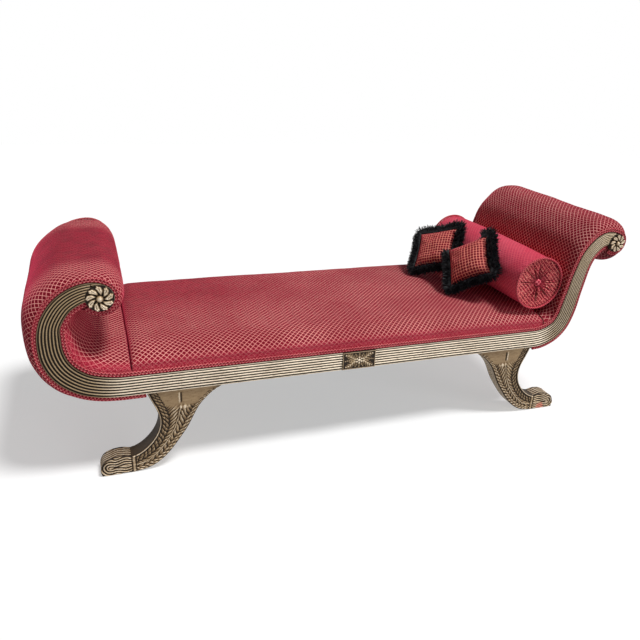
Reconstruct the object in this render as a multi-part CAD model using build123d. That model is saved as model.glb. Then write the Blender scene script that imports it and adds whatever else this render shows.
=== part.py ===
from build123d import *
import os
from math import cos, radians, sin, sqrt

# A scroll-ended daybed in the Regency manner, in millimetres.
# +X runs along the seat towards the outward scroll, +Y away from the show side, +Z up.
# The origin is on the floor, under the middle of the piece.

# Frame: two reeded side boards, front and back alike, joined by cross rails.
FACE_Y = 355.5          # groove floor of a side board, from the middle plane
BOARD_THICK = 30.0
BOARD_BACK_Y = FACE_Y - BOARD_THICK
RAIL_LOW_Z = 294.0
RAIL_HIGH_Z = 360.0
RAIL_MID_Z = (RAIL_LOW_Z + RAIL_HIGH_Z) / 2
RAIL_LEFT_X = -728.5
RAIL_RIGHT_X = 714.5

# Reeding: six round reeds between two thin fillets.
REED_COUNT = 6
REED_R = 3.2
REED_RISE = 1.6         # height of a reed's axis over the groove floor
FILLET_WIDE = 2.6
FILLET_RISE = 4.2

# Centre lines of the two scrolls: x, z, heading in degrees, width of the band.
LEFT_SCROLL = [
    (RAIL_LEFT_X, RAIL_MID_Z, 180, 66),
    (-797, RAIL_MID_Z, 180, 66),
    (-897, 341, 163, 70),
    (-961, 379, 137, 71),
    (-998, 438, 108, 69),
    (-1006, 496, 90, 66),
    (-993, 567, 63, 59),
    (-944, 626, 34, 56),
    (-876, 650, 2, 54),
]
RIGHT_SCROLL = [
    (RAIL_RIGHT_X, RAIL_MID_Z, 0, 66),
    (763, 332, 16, 67),
    (805, 351, 36, 66),
    (832, 377, 58, 62),
    (853, 429, 77, 59),
    (872, 533, 80, 53),
    (894, 630, 72, 48),
    (922, 679, 48, 48),
    (967, 713, 18, 49),
    (1010, 717, -6, 40),
]
LEFT_ROSETTE = (-853.5, 629.0, 41.0)
RIGHT_ROSETTE = (1022.5, 698.0, 34.0)
ROSETTE_THICK = 6.0
PETAL_COUNT = 8

# Carved tablet in the middle of each long rail.
TABLET_X = -11.5
TABLET_WIDE = 124.0
TABLET_TALL = 66.0
TABLET_RISE = 10.0

# Sabre legs, each dowelled up into a glued block behind the rail.
LEFT_LEG_X = -637.5
RIGHT_LEG_X = 622.5
LEG_THICK = 60.0
LEG_FACE_Y = 352.0
LEG_BAND_RISE = 3.0     # how far the ankle band and the toe scroll stand proud
DOWEL_R = 6.0
DOWEL_LONG = 80.0
DOWEL_Z = 290.0
DOWEL_SPREAD = 28.0
DOWEL_Y = -308.0
LEG_BLOCK_HALF = 60.0
LEG_BLOCK_DEEP = 44.0

# Upholstery.
CORE_HALF = 16.0        # half the wooden core between the arm pads
PAD_FACE_Y = 350.0
PAD_FULL_Y = 300.0
ROLL_LEFT_FACE_R = 62.0
ROLL_LEFT_FULL_R = 72.0
ROLL_RIGHT_FACE_R = 57.0
ROLL_RIGHT_FULL_R = 77.0
ROLL_RIGHT = (1013.0, 698.0)
BEAM_R = 26.0
SLAT_WIDE = 44.0
CREASE_LEFT_X = -778.0
CREASE_RIGHT_X = 762.0
SEAT_FOOT_Z = RAIL_HIGH_Z + 3
SEAT_CROWN_Z = 441.0
SEAT_CROWN_RISE = 7.0   # from the shoulders to the crown
SEAT_SHOULDER_Y = 286.0
SEAT_ROUND_Y = 328.0    # where the rolled edge is sampled between shoulder and border
SEAT_EDGE_Z = 387.0
SEAT_DIP_LONG = 46.0    # how far from an arm the seat dips into its crease
SEAT_DIP_DEEP = 24.0
STRAP_THICK = 1.2
STRAP_WIDE = 50.0
STRAP_SLACK = 0.1

# Loose pieces.
BOLSTER_X = 726.0
BOLSTER_Z = 545.6
BOLSTER_R = 104.0
BOLSTER_END_R = 99.0
BOLSTER_NEAR_Y = -325.0
BOLSTER_FAR_Y = 330.0
BOLSTER_DISH = 9.0      # how far each end is pulled in under its button
BOLSTER_BUTTON_R = 11.0
BOLSTER_CORD_R = 3.4
PILLOW_SIDE = 172.0
FRINGE_WIDE = 24.0

GAP = 0.4               # clearance left between neighbouring soft pieces

# Double welts: two cords side by side, along the faces of the boards.
WELT_R = 3.7
WELT_PITCH = 7.6
WELT_Y = -PAD_FACE_Y - WELT_R
WELT_STEPS = (WELT_R + GAP, WELT_R + GAP + WELT_PITCH)

os.makedirs("parts", exist_ok=True)


def save(node, *pieces):
    """Write one sub-part, of one or more separate solids."""
    solids = [solid for piece in pieces for solid in piece.solids()]
    shape = solids[0] if len(solids) == 1 else Compound(children=solids)
    export_step(shape, f"parts/{node}.step")


def mirrored(piece):
    """The same piece on the far side of the middle plane."""
    return mirror(piece, about=Plane.XZ)


def save_pair(name, *pieces):
    """Write a front sub-part and its mirror image at the back."""
    save(name + "_front", *pieces)
    save(name + "_back", *[mirrored(piece) for piece in pieces])


# Curves in upright planes: chains of tangent arcs through stations.

def tangent_edge(start, end, tangent):
    """A line, or the arc that leaves start along tangent and reaches end."""
    chord = end - start
    if tangent.cross(chord.normalized()).length < 1e-4:
        return Line(start, end)
    return TangentArc(start, end, tangent=tangent)


def biarc(start, start_way, end, end_way):
    """Two tangent arcs from start to end with the given directions."""
    chord = end - start
    along = chord.dot(start_way + end_way)
    spread = 2 * (1 - start_way.dot(end_way))
    if spread < 1e-5:
        reach = chord.dot(chord) / (2 * along)
    else:
        reach = (sqrt(along ** 2 + spread * chord.dot(chord)) - along) / spread
    near = start + start_way * reach
    far = end - end_way * reach
    middle = (near + far) * 0.5
    middle_way = (far - near).normalized()
    return [tangent_edge(start, middle, start_way), tangent_edge(middle, end, middle_way)]


def chain(stations, offsets, y):
    """Edges that follow the stations, each shifted to the left of its heading."""
    places = []
    for (x, z, heading, _), offset in zip(stations, offsets):
        turn = radians(heading)
        place = Vector(x - sin(turn) * offset, y, z + cos(turn) * offset)
        places.append((place, Vector(cos(turn), 0, sin(turn))))
    edges = []
    for (start, start_way), (end, end_way) in zip(places, places[1:]):
        edges += biarc(start, start_way, end, end_way)
    return edges


def ribbon(stations, low, high, y):
    """The flat face between two chains."""
    first = chain(stations, low, y)
    second = chain(stations, high, y)
    near_end = Line(first[0] @ 0, second[0] @ 0)
    far_end = Line(first[-1] @ 1, second[-1] @ 1)
    return Face(Wire([near_end, far_end, *first, *second]))


def across(stations, share, extra=0.0):
    """Offsets at a share of the band's half width, plus a fixed amount."""
    return [share * width / 2 + extra for *_, width in stations]


def slab(face, near_y, far_y):
    """A flat face at near_y, made as thick as the way to far_y."""
    return extrude(face, amount=far_y - near_y, dir=(0, 1, 0))


def tube(edges, radius):
    """A round bead along a chain of edges."""
    path = Wire(edges)
    start = path @ 0
    ring = Plane(origin=start, z_dir=path % 0) * Circle(radius)
    return sweep(ring, path=path)


def block(x0, x1, y0, y1, z0, z1):
    """An upright block between two corners."""
    centre = ((x0 + x1) / 2, (y0 + y1) / 2, (z0 + z1) / 2)
    return Pos(*centre) * Box(x1 - x0, y1 - y0, z1 - z0)


def rod(x, z, radius, y0, y1):
    """A round bar along Y."""
    bar = Cylinder(radius, y1 - y0)
    return Pos(x, (y0 + y1) / 2, z) * Rot(90, 0, 0) * bar


# Frame.

def reed_offsets(stations):
    """Offsets of each reed, evenly spaced over the width of the band."""
    shares = [(2 * index - REED_COUNT + 1) / (REED_COUNT + 1) for index in range(REED_COUNT)]
    return [across(stations, share) for share in shares]


def reeded_board(stations):
    """A scroll board with its reeds and edge fillets, on the front side."""
    board = slab(ribbon(stations, across(stations, -1), across(stations, 1), -FACE_Y),
                 -FACE_Y, -BOARD_BACK_Y)
    for side in (-1, 1):
        inside = across(stations, side, -side * FILLET_WIDE)
        edge = ribbon(stations, inside, across(stations, side), -FACE_Y - FILLET_RISE)
        board += slab(edge, -FACE_Y - FILLET_RISE, -FACE_Y)
    for offsets in reed_offsets(stations):
        board += tube(chain(stations, offsets, -FACE_Y - REED_RISE), REED_R)
    return board


def scroll_board(stations, rosette):
    """A reeded scroll that ends in a plain boss, which carries the rosette."""
    x, z, radius = rosette
    front_y = -FACE_Y - FILLET_RISE
    boss = rod(x, z, radius + GAP, front_y, -BOARD_BACK_Y)
    return reeded_board(stations) + boss - rod(x, z, radius + GAP, front_y - REED_R, front_y)


def long_rail():
    """The straight rail, reeded on both sides of the tablet."""
    rail = block(RAIL_LEFT_X, RAIL_RIGHT_X, -FACE_Y, -BOARD_BACK_Y, RAIL_LOW_Z, RAIL_HIGH_Z)
    pitch = (RAIL_HIGH_Z - RAIL_LOW_Z) / (REED_COUNT + 1)
    tablet_left = TABLET_X - TABLET_WIDE / 2
    tablet_right = TABLET_X + TABLET_WIDE / 2
    for x0, x1 in ((RAIL_LEFT_X, tablet_left), (tablet_right, RAIL_RIGHT_X)):
        for index in range(REED_COUNT):
            z = RAIL_LOW_Z + pitch * (index + 1)
            bar = Cylinder(REED_R, x1 - x0)
            rail += Pos((x0 + x1) / 2, -FACE_Y - REED_RISE, z) * Rot(0, 90, 0) * bar
        for z0 in (RAIL_LOW_Z, RAIL_HIGH_Z - FILLET_WIDE):
            rail += block(x0, x1, -FACE_Y - FILLET_RISE, -FACE_Y, z0, z0 + FILLET_WIDE)
    return rail


def tablet():
    """A framed panel with four leaves about a boss."""
    face_y = -FACE_Y - TABLET_RISE
    half = TABLET_WIDE / 2
    panel = block(TABLET_X - half, TABLET_X + half, face_y, -FACE_Y, RAIL_LOW_Z, RAIL_HIGH_Z)
    border = 6.0
    recess = 4.0
    panel -= block(TABLET_X - half + border, TABLET_X + half - border, face_y, face_y + recess,
                   RAIL_LOW_Z + border, RAIL_HIGH_Z - border)
    middle = Pos(TABLET_X, face_y + recess, RAIL_MID_Z)
    leaf_long = 50.0
    leaf_wide = 17.0
    for corner in (28, 152, 208, 332):
        leaf = Pos(leaf_long / 2, 0, 0) * extrude(Ellipse(leaf_long / 2, leaf_wide / 2), recess)
        panel += middle * Rot(90, 0, 0) * Rot(0, 0, corner) * leaf
    boss_r = 9.0
    boss_rise = recess + 2
    return panel + middle * Rot(90, 0, 0) * extrude(Circle(boss_r), boss_rise)


def rosette(place):
    """A rimmed disc with petals and a centre ball."""
    x, z, radius = place
    seat_y = -FACE_Y - FILLET_RISE
    rim = 3.0
    petal_r = radius * 0.26
    disc = extrude(Circle(radius), ROSETTE_THICK)
    disc -= Pos(0, 0, ROSETTE_THICK - rim) * extrude(Circle(radius - rim), rim)
    floor = ROSETTE_THICK - rim
    for index in range(PETAL_COUNT):
        petal = Cone(petal_r, petal_r * 0.55, rim + 1)
        turn = Rot(0, 0, index * 360 / PETAL_COUNT)
        disc += turn * Pos(radius * 0.62, 0, floor + (rim + 1) / 2) * petal
    ball = Sphere(radius * 0.27)
    disc += Pos(0, 0, floor) * (ball & Pos(0, 0, radius) * Box(2 * radius, 2 * radius, 2 * radius))
    return Pos(x, seat_y, z) * Rot(90, 0, 0) * disc


# Legs: the profile is drawn for a leg whose foot sweeps towards +x.

def leg_outline():
    """Closed outline of a sabre leg in x and z, from the rail to the toe."""
    top = RAIL_LOW_Z
    heel = [(-160, top), (-76, 236), (-18, 135), (56, 40), (130, 3)]
    hollow = [(163, 63), (91, 112), (65, 190), (102, top)]
    toe = [(190, 68), (250, 50), (262, 14)]
    edges = [
        Spline(*heel, tangents=[(1, -0.22), (1, -0.12)]),
        Line(heel[-1], (150, 0)),
        Line((150, 0), (254, 0)),
        ThreePointArc((254, 0), toe[2], toe[1]),
        ThreePointArc(toe[1], (222, 65), toe[0]),
        Line(toe[0], hollow[0]),
        Spline(*hollow, tangents=[(-1, 0.1), (0.35, 1)]),
        Line(hollow[-1], heel[0]),
    ]
    return make_face(edges)


def leg(x, way):
    """One leg at x, its foot turned to the left or right by way."""
    body = Plane.XZ * leg_outline()
    body = extrude(body, amount=LEG_THICK, dir=(0, 1, 0))
    near = -LEG_BAND_RISE
    far = LEG_THICK + LEG_BAND_RISE
    ankle_band = block(152, 162, near, far, 0, 64)
    toe_scroll = rod(232, 36, 27, near, far)
    body += ankle_band + toe_scroll
    if way < 0:
        body = mirror(body, about=Plane.YZ)
    body = Pos(x, -LEG_FACE_Y, 0) * body
    for peg in leg_dowels(x):
        body -= peg
    return body


def leg_dowels(x):
    """Two dowels that hold a front leg to its block."""
    pegs = []
    for side in (-1, 1):
        peg = Cylinder(DOWEL_R, DOWEL_LONG)
        pegs.append(Pos(x + side * DOWEL_SPREAD, DOWEL_Y, DOWEL_Z) * peg)
    return pegs


def leg_block(x):
    """A glued block behind the rail, over a front leg."""
    near = -BOARD_BACK_Y
    piece = block(x - LEG_BLOCK_HALF, x + LEG_BLOCK_HALF, near, near + LEG_BLOCK_DEEP,
                  RAIL_LOW_Z, RAIL_HIGH_Z)
    for peg in leg_dowels(x):
        piece -= peg
    return piece


def cross_rail(x, width):
    """A rail from the front board to the back board."""
    half = width / 2
    low_z = RAIL_LOW_Z + 4
    return block(x - half, x + half, -BOARD_BACK_Y, BOARD_BACK_Y, low_z, RAIL_HIGH_Z)


# Arms.

def arm_slats(stations, picks):
    """Flat slats between the two scroll boards, along the middle of an arm."""
    slats = []
    for index in picks:
        x, z, heading, _ = stations[index]
        plank = Box(SLAT_WIDE, 2 * BOARD_BACK_Y, CORE_HALF)
        slats.append(Pos(x, 0, z) * Rot(0, -heading, 0) * plank)
    return slats


def padded_prism(stations, low, face_high, full_high):
    """Stuffing between two offset chains, fuller in the middle than at both ends."""
    full_face = ribbon(stations, low, full_high, -PAD_FULL_Y)
    full = slab(full_face, -PAD_FULL_Y, PAD_FULL_Y)
    end = loft([ribbon(stations, low, face_high, -PAD_FACE_Y), full_face], ruled=True)
    return full + end + mirrored(end)


def roll_pad(x, z, face_r, full_r):
    """The stuffed roll of an arm, with rounded ends."""
    outline = [
        Line((0, -PAD_FACE_Y), (face_r, -PAD_FACE_Y)),
        ThreePointArc((face_r, -PAD_FACE_Y), (full_r - 3, -PAD_FULL_Y - 14), (full_r, -PAD_FULL_Y + 10)),
        Line((full_r, -PAD_FULL_Y + 10), (full_r, PAD_FULL_Y - 10)),
        ThreePointArc((full_r, PAD_FULL_Y - 10), (full_r - 3, PAD_FULL_Y + 14), (face_r, PAD_FACE_Y)),
        Line((face_r, PAD_FACE_Y), (0, PAD_FACE_Y)),
        Line((0, PAD_FACE_Y), (0, -PAD_FACE_Y)),
    ]
    return Pos(x, 0, z) * revolve(make_face(outline), Axis.Y)


def board_room(stations, rosette):
    """The space that the two scroll boards of an arm take up."""
    x, z, radius = rosette
    face = ribbon(stations, across(stations, -1), across(stations, 1), -FACE_Y - 10)
    room = slab(face, -FACE_Y - 10, -BOARD_BACK_Y) + rod(x, z, radius + GAP, -FACE_Y - 10, -BOARD_BACK_Y)
    return room + mirrored(room)


def seat_section(x, crown, edge):
    """The seat's cross-section at x, crowned between two rolled edges."""
    half = PAD_FACE_Y - 0.5
    shoulder = SEAT_SHOULDER_Y
    shoulder_z = crown - SEAT_CROWN_RISE
    round_z = edge + (shoulder_z - edge) * 0.72
    edges = [
        Line((-half, SEAT_FOOT_Z), (-half, edge)),
        ThreePointArc((-half, edge), (-SEAT_ROUND_Y, round_z), (-shoulder, shoulder_z)),
        ThreePointArc((-shoulder, shoulder_z), (0, crown), (shoulder, shoulder_z)),
        ThreePointArc((shoulder, shoulder_z), (SEAT_ROUND_Y, round_z), (half, edge)),
        Line((half, edge), (half, SEAT_FOOT_Z)),
        Line((half, SEAT_FOOT_Z), (-half, SEAT_FOOT_Z)),
    ]
    return Plane(origin=(x, 0, 0), x_dir=(0, 1, 0), z_dir=(1, 0, 0)) * make_face(edges)


def seat_pad():
    """The long seat, dipping into a crease at each arm."""
    low_crown = SEAT_CROWN_Z - SEAT_DIP_DEEP
    low_edge = SEAT_EDGE_Z - 3
    sections = [
        seat_section(CREASE_LEFT_X, low_crown, low_edge),
        seat_section(CREASE_LEFT_X + SEAT_DIP_LONG, SEAT_CROWN_Z, SEAT_EDGE_Z),
        seat_section(CREASE_RIGHT_X - SEAT_DIP_LONG, SEAT_CROWN_Z, SEAT_EDGE_Z),
        seat_section(CREASE_RIGHT_X, low_crown, low_edge),
    ]
    return loft(sections, ruled=True)


def webbing():
    """Straps across and along the seat, stretched over the rails."""
    half = STRAP_WIDE / 2
    reach_y = PAD_FACE_Y - 10
    top_z = RAIL_HIGH_Z + STRAP_THICK
    cross_straps = []
    for x in range(-660, 661, 110):
        cross_straps.append(block(x - half, x + half, -reach_y, reach_y, RAIL_HIGH_Z, top_z))
    long_straps = []
    for y in range(-240, 241, 120):
        low_z = top_z + STRAP_SLACK
        long_straps.append(block(RAIL_LEFT_X, RAIL_RIGHT_X, y - half, y + half, low_z,
                                 low_z + STRAP_THICK))
    return cross_straps, long_straps


def band_welt(stations, side):
    """A double welt, two cords side by side, along one edge of a scroll's band."""
    return [tube(chain(stations, across(stations, side, side * step), WELT_Y), WELT_R)
            for step in WELT_STEPS]


def curl_welt(rosette, start, sweep_angle):
    """A double welt round the free side of a rosette."""
    x, z, radius = rosette
    cords = []
    for step in WELT_STEPS:
        circle = Plane(origin=(x, WELT_Y, z), x_dir=(1, 0, 0), z_dir=(0, -1, 0))
        arc = circle * CenterArc((0, 0), radius + step, start, sweep_angle)
        cords.append(tube([arc], WELT_R))
    return cords


def seat_welt():
    """A double welt along the top of the straight rail."""
    cords = []
    for step in WELT_STEPS:
        cord = Cylinder(WELT_R, RAIL_RIGHT_X - RAIL_LEFT_X)
        cords.append(Pos((RAIL_LEFT_X + RAIL_RIGHT_X) / 2, WELT_Y, RAIL_HIGH_Z + step) * Rot(0, 90, 0) * cord)
    return cords


# Loose pieces.

def bolster():
    """A round bolster, a little fuller in the middle than at its ends."""
    length = BOLSTER_FAR_Y - BOLSTER_NEAR_Y
    dish = BOLSTER_DISH
    swell = ThreePointArc((BOLSTER_END_R, 0), (BOLSTER_R, length / 2), (BOLSTER_END_R, length))
    flat = 16.0
    lip = (BOLSTER_END_R * 0.6, dish * 0.3)
    edges = [
        Line((0, dish), (flat, dish)),
        ThreePointArc((flat, dish), lip, (BOLSTER_END_R, 0)),
        swell,
        ThreePointArc((BOLSTER_END_R, length), (lip[0], length - lip[1]), (flat, length - dish)),
        Line((flat, length - dish), (0, length - dish)),
        Line((0, length - dish), (0, dish)),
    ]
    return Pos(BOLSTER_X, BOLSTER_NEAR_Y, BOLSTER_Z) * revolve(make_face(edges), Axis.Y)


def bolster_piping():
    """A corded ring at each end of the bolster."""
    stand_off = BOLSTER_CORD_R + 0.1
    rings = []
    for y in (BOLSTER_NEAR_Y - stand_off, BOLSTER_FAR_Y + stand_off):
        ring = Torus(BOLSTER_END_R - 1, BOLSTER_CORD_R)
        rings.append(Pos(BOLSTER_X, y, BOLSTER_Z) * Rot(90, 0, 0) * ring)
    return rings


def bolster_buttons():
    """A covered button in the middle of each end."""
    buttons = []
    wide = 2 * BOLSTER_BUTTON_R
    inset = BOLSTER_DISH - 0.2
    for y, way in ((BOLSTER_NEAR_Y + inset, -1), (BOLSTER_FAR_Y - inset, 1)):
        dome = Sphere(BOLSTER_BUTTON_R) & Pos(0, 0, wide / 2) * Box(wide, wide, wide)
        buttons.append(Pos(BOLSTER_X, y, BOLSTER_Z) * Rot(-90 * way, 0, 0) * scale(dome, by=(1, 1, 0.7)))
    return buttons


def pillow_plane(centre, rise_way, face_way):
    """The middle plane of a leaning pillow: its side runs along rise_way."""
    normal = Vector(*face_way).normalized()
    side = Vector(*rise_way)
    side = (side - normal * side.dot(normal)).normalized()
    return Plane(origin=centre, x_dir=side, z_dir=normal)


def pillow_outline(half, draw_in):
    """A square whose sides curve in between its corners."""
    corners = [(-half, -half), (half, -half), (half, half), (-half, half)]
    middles = [(0, -half + draw_in), (half - draw_in, 0), (0, half - draw_in), (-half + draw_in, 0)]
    edges = []
    for index, middle in enumerate(middles):
        edges.append(ThreePointArc(corners[index], middle, corners[(index + 1) % 4]))
    return make_face(edges)


def pillow(place, thick):
    """A crowned square pillow, thin along its seam."""
    half = PILLOW_SIDE / 2
    seam = 3.0
    levels = [(0, half, 7), (0.55, half * 0.86, 5), (0.85, half * 0.62, 3), (1, half * 0.36, 1)]
    faces = []
    for share, reach, draw_in in levels:
        z = seam + share * (thick / 2 - seam)
        faces.append(Pos(0, 0, z) * pillow_outline(reach, draw_in))
    upper = loft(faces, ruled=True)
    lower = mirror(upper, about=Plane.XY)
    middle = extrude(pillow_outline(half, 7), seam, both=True)
    return place * (upper + lower + middle)


def fringe(place):
    """The solid run of a brush fringe round a pillow's seam."""
    half = PILLOW_SIDE / 2 + GAP
    band = extrude(pillow_outline(half + FRINGE_WIDE, 7), 2.4, both=True)
    return place * (band - extrude(pillow_outline(half, 7), 5, both=True))


def build_frame():
    save_pair("long_rail", long_rail())
    save_pair("tablet", tablet())
    save_pair("left_scroll", scroll_board(LEFT_SCROLL, LEFT_ROSETTE))
    save_pair("right_scroll", scroll_board(RIGHT_SCROLL, RIGHT_ROSETTE))
    save_pair("left_rosette", rosette(LEFT_ROSETTE))
    save_pair("right_rosette", rosette(RIGHT_ROSETTE))
    save_pair("left_leg", leg(LEFT_LEG_X, -1))
    save_pair("right_leg", leg(RIGHT_LEG_X, 1))
    blocks = []
    dowels = []
    for x in (LEFT_LEG_X, RIGHT_LEG_X):
        pegs = leg_dowels(x)
        blocks += [leg_block(x), mirrored(leg_block(x))]
        dowels += pegs + [mirrored(peg) for peg in pegs]
    save("leg_blocks", *blocks)
    save("leg_dowels", *dowels)
    save("left_end_rail", cross_rail(RAIL_LEFT_X + 16, 30))
    save("right_end_rail", cross_rail(RAIL_RIGHT_X - 16, 30))
    save("cross_rails", *[cross_rail(x, 40) for x in (-420, 0, 420)])
    save("dust_cover", block(-470, 455, -348, 348, RAIL_LOW_Z - 1.5, RAIL_LOW_Z - 0.3))


def build_arms():
    left_room = board_room(LEFT_SCROLL, LEFT_ROSETTE)
    right_room = board_room(RIGHT_SCROLL, RIGHT_ROSETTE)
    left_beam = rod(*LEFT_ROSETTE[:2], BEAM_R, -BOARD_BACK_Y, BOARD_BACK_Y)
    right_beam = rod(*ROLL_RIGHT, BEAM_R, -BOARD_BACK_Y, BOARD_BACK_Y)
    left_roll = roll_pad(*LEFT_ROSETTE[:2], ROLL_LEFT_FACE_R, ROLL_LEFT_FULL_R)
    right_roll = roll_pad(*ROLL_RIGHT, ROLL_RIGHT_FACE_R, ROLL_RIGHT_FULL_R)
    left_hold = rod(*LEFT_ROSETTE[:2], ROLL_LEFT_FULL_R + GAP, -400, 400)
    right_hold = rod(*ROLL_RIGHT, ROLL_RIGHT_FULL_R + GAP, -400, 400)

    left_path = [(CREASE_LEFT_X - 2, RAIL_MID_Z, 180, 66)] + LEFT_SCROLL[1:]
    left_under = [(-740, RAIL_MID_Z, 180, 66)] + LEFT_SCROLL[1:]
    core = [CORE_HALF] * len(left_path)
    minus_core = [-CORE_HALF] * len(left_path)
    face_in = [27, 27, 24, 22, 20, 18, 16, 15, 14]
    full_in = [45, 45, 42, 38, 34, 30, 26, 22, 20]
    face_out = [14, 14, 15, 16, 16, 16, 16, 15, 14]
    full_out = [18, 20, 24, 32, 40, 51, 50, 38, 24]
    inside = padded_prism(left_path, minus_core, widened(left_path, -1, face_in),
                          widened(left_path, -1, full_in))
    outside = padded_prism(left_under, core, widened(left_under, 1, face_out),
                           widened(left_under, 1, full_out))
    save("left_arm_inside", inside - left_room - left_hold)
    save("left_arm_outside", outside - left_room - left_hold)
    save("left_arm_roll", left_roll - left_room - left_beam)
    save("left_roll_beam", left_beam)
    save("left_arm_slats", *arm_slats(LEFT_SCROLL, (2, 3, 4, 5, 6)))

    right_top = (ROLL_RIGHT[0], 717, 0, 40)
    right_path = [(CREASE_RIGHT_X - 12, RAIL_MID_Z + 2, 11, 66)] + RIGHT_SCROLL[2:9] + [right_top]
    right_under = [(726, RAIL_MID_Z, 3, 66)] + RIGHT_SCROLL[2:9]
    core = [CORE_HALF] * len(right_path)
    minus_core = [-CORE_HALF] * len(right_under)
    face_in = [27, 22, 17, 12, 10, 12, 14, 15, 15]
    full_in = [45, 38, 30, 18, 11, 22, 32, 38, 38]
    face_out = [14, 14, 14, 14, 14, 14, 14, 14]
    full_out = [20, 22, 22, 22, 22, 22, 20, 18]
    inside = padded_prism(right_path, core, widened(right_path, 1, face_in),
                          widened(right_path, 1, full_in))
    outside = padded_prism(right_under, minus_core, widened(right_under, -1, face_out),
                           widened(right_under, -1, full_out))
    seat_end = block(0, CREASE_RIGHT_X + GAP, -400, 400, RAIL_HIGH_Z, SEAT_CROWN_Z)
    save("right_arm_inside", inside - right_room - right_hold - seat_end)
    save("right_arm_outside", outside - right_room - right_hold)
    save("right_arm_roll", right_roll - right_room - right_beam)
    save("right_roll_beam", right_beam)
    save("right_arm_slats", *arm_slats(RIGHT_SCROLL, (3, 4, 5, 6)))


def widened(stations, side, extra):
    """Offsets outside the band by a given amount at each station."""
    return [side * (width / 2 + more) for (*_, width), more in zip(stations, extra)]


def build_welts():
    left_start = (-740, RAIL_MID_Z, 180, 66)
    left = band_welt(LEFT_SCROLL[:8], -1) + band_welt([left_start] + LEFT_SCROLL[1:], 1)
    save_pair("left_welts", *left, *curl_welt(LEFT_ROSETTE, 215, 195))
    right_start = (727, RAIL_MID_Z + 0.2, 1.93, 66)
    right = band_welt(RIGHT_SCROLL[:9], 1) + band_welt([right_start] + RIGHT_SCROLL[1:8], -1)
    save_pair("right_welts", *right, *curl_welt(RIGHT_ROSETTE, 225, 195))


def build_seat():
    cross_straps, long_straps = webbing()
    save("seat_webbing_cross", *cross_straps)
    save("seat_webbing_long", *long_straps)
    save("seat_pad", seat_pad() - board_room(RIGHT_SCROLL, RIGHT_ROSETTE))
    save_pair("seat_welt", *seat_welt())


def build_loose():
    save("bolster", bolster())
    save("bolster_piping", *bolster_piping())
    save("bolster_buttons", *bolster_buttons())
    front = pillow_plane((562, -90, 568), (95, -111, 88), (-0.78, -0.20, 0.59))
    rear = pillow_plane((541, 146, 554), (87, -121, 53), (-0.71, -0.22, 0.67))
    save("front_pillow", pillow(front, 74))
    save("front_pillow_fringe", fringe(front))
    save("rear_pillow", pillow(rear, 50))
    save("rear_pillow_fringe", fringe(rear))


build_frame()
build_arms()
build_welts()
build_seat()
build_loose()
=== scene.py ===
from math import atan2, cos, degrees, hypot, pi, radians, sin, sqrt

import bpy
import numpy as np
from mathutils import Matrix, Vector, noise


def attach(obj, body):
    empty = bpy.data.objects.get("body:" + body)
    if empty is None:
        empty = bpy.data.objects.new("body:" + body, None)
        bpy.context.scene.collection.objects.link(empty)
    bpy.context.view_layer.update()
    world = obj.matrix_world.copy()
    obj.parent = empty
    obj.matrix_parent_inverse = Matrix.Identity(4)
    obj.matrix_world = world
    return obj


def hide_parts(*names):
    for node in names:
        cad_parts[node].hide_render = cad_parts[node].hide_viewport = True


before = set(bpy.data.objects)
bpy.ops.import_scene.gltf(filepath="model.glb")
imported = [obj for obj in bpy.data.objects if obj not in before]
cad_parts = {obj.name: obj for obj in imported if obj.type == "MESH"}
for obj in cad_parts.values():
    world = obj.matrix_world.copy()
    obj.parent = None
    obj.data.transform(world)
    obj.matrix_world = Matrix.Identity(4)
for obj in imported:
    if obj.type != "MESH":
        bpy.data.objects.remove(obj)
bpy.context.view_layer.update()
BODY = "daybed"

# ---------------------------------------------------------------------------
# The room: a plain pale floor and backdrop under two soft studio lights. The
# camera stands at the front left, above the arms, and looks down at the seat.
# ---------------------------------------------------------------------------

bpy.ops.object.select_all(action="DESELECT")
scene = bpy.context.scene
scene.view_settings.view_transform = "Standard"

CAMERA_PLACE = Vector((-0.8589, -2.2263, 1.3357))
CAMERA_TURN = 0.3560       # radians to the right of +Y
CAMERA_DIP = 0.4000        # radians below the level
CAMERA_ROLL = 0.0500       # radians
CAMERA_LENS = 36.39        # millimetres, on a sensor 36 wide

look = Vector((sin(CAMERA_TURN) * cos(CAMERA_DIP), cos(CAMERA_TURN) * cos(CAMERA_DIP), -sin(CAMERA_DIP)))
level = Vector((cos(CAMERA_TURN), -sin(CAMERA_TURN), 0))
upright = level.cross(look)
right = cos(CAMERA_ROLL) * level + sin(CAMERA_ROLL) * upright
above = cos(CAMERA_ROLL) * upright - sin(CAMERA_ROLL) * level
bpy.ops.object.camera_add(location=CAMERA_PLACE)
camera = bpy.context.object
camera.matrix_world = Matrix((
    (right.x, above.x, -look.x, CAMERA_PLACE.x),
    (right.y, above.y, -look.y, CAMERA_PLACE.y),
    (right.z, above.z, -look.z, CAMERA_PLACE.z),
    (0, 0, 0, 1)))
camera.data.sensor_width = 36
camera.data.lens = CAMERA_LENS
camera.data.clip_start = 0.05
camera.data.clip_end = 60
scene.camera = camera


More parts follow.
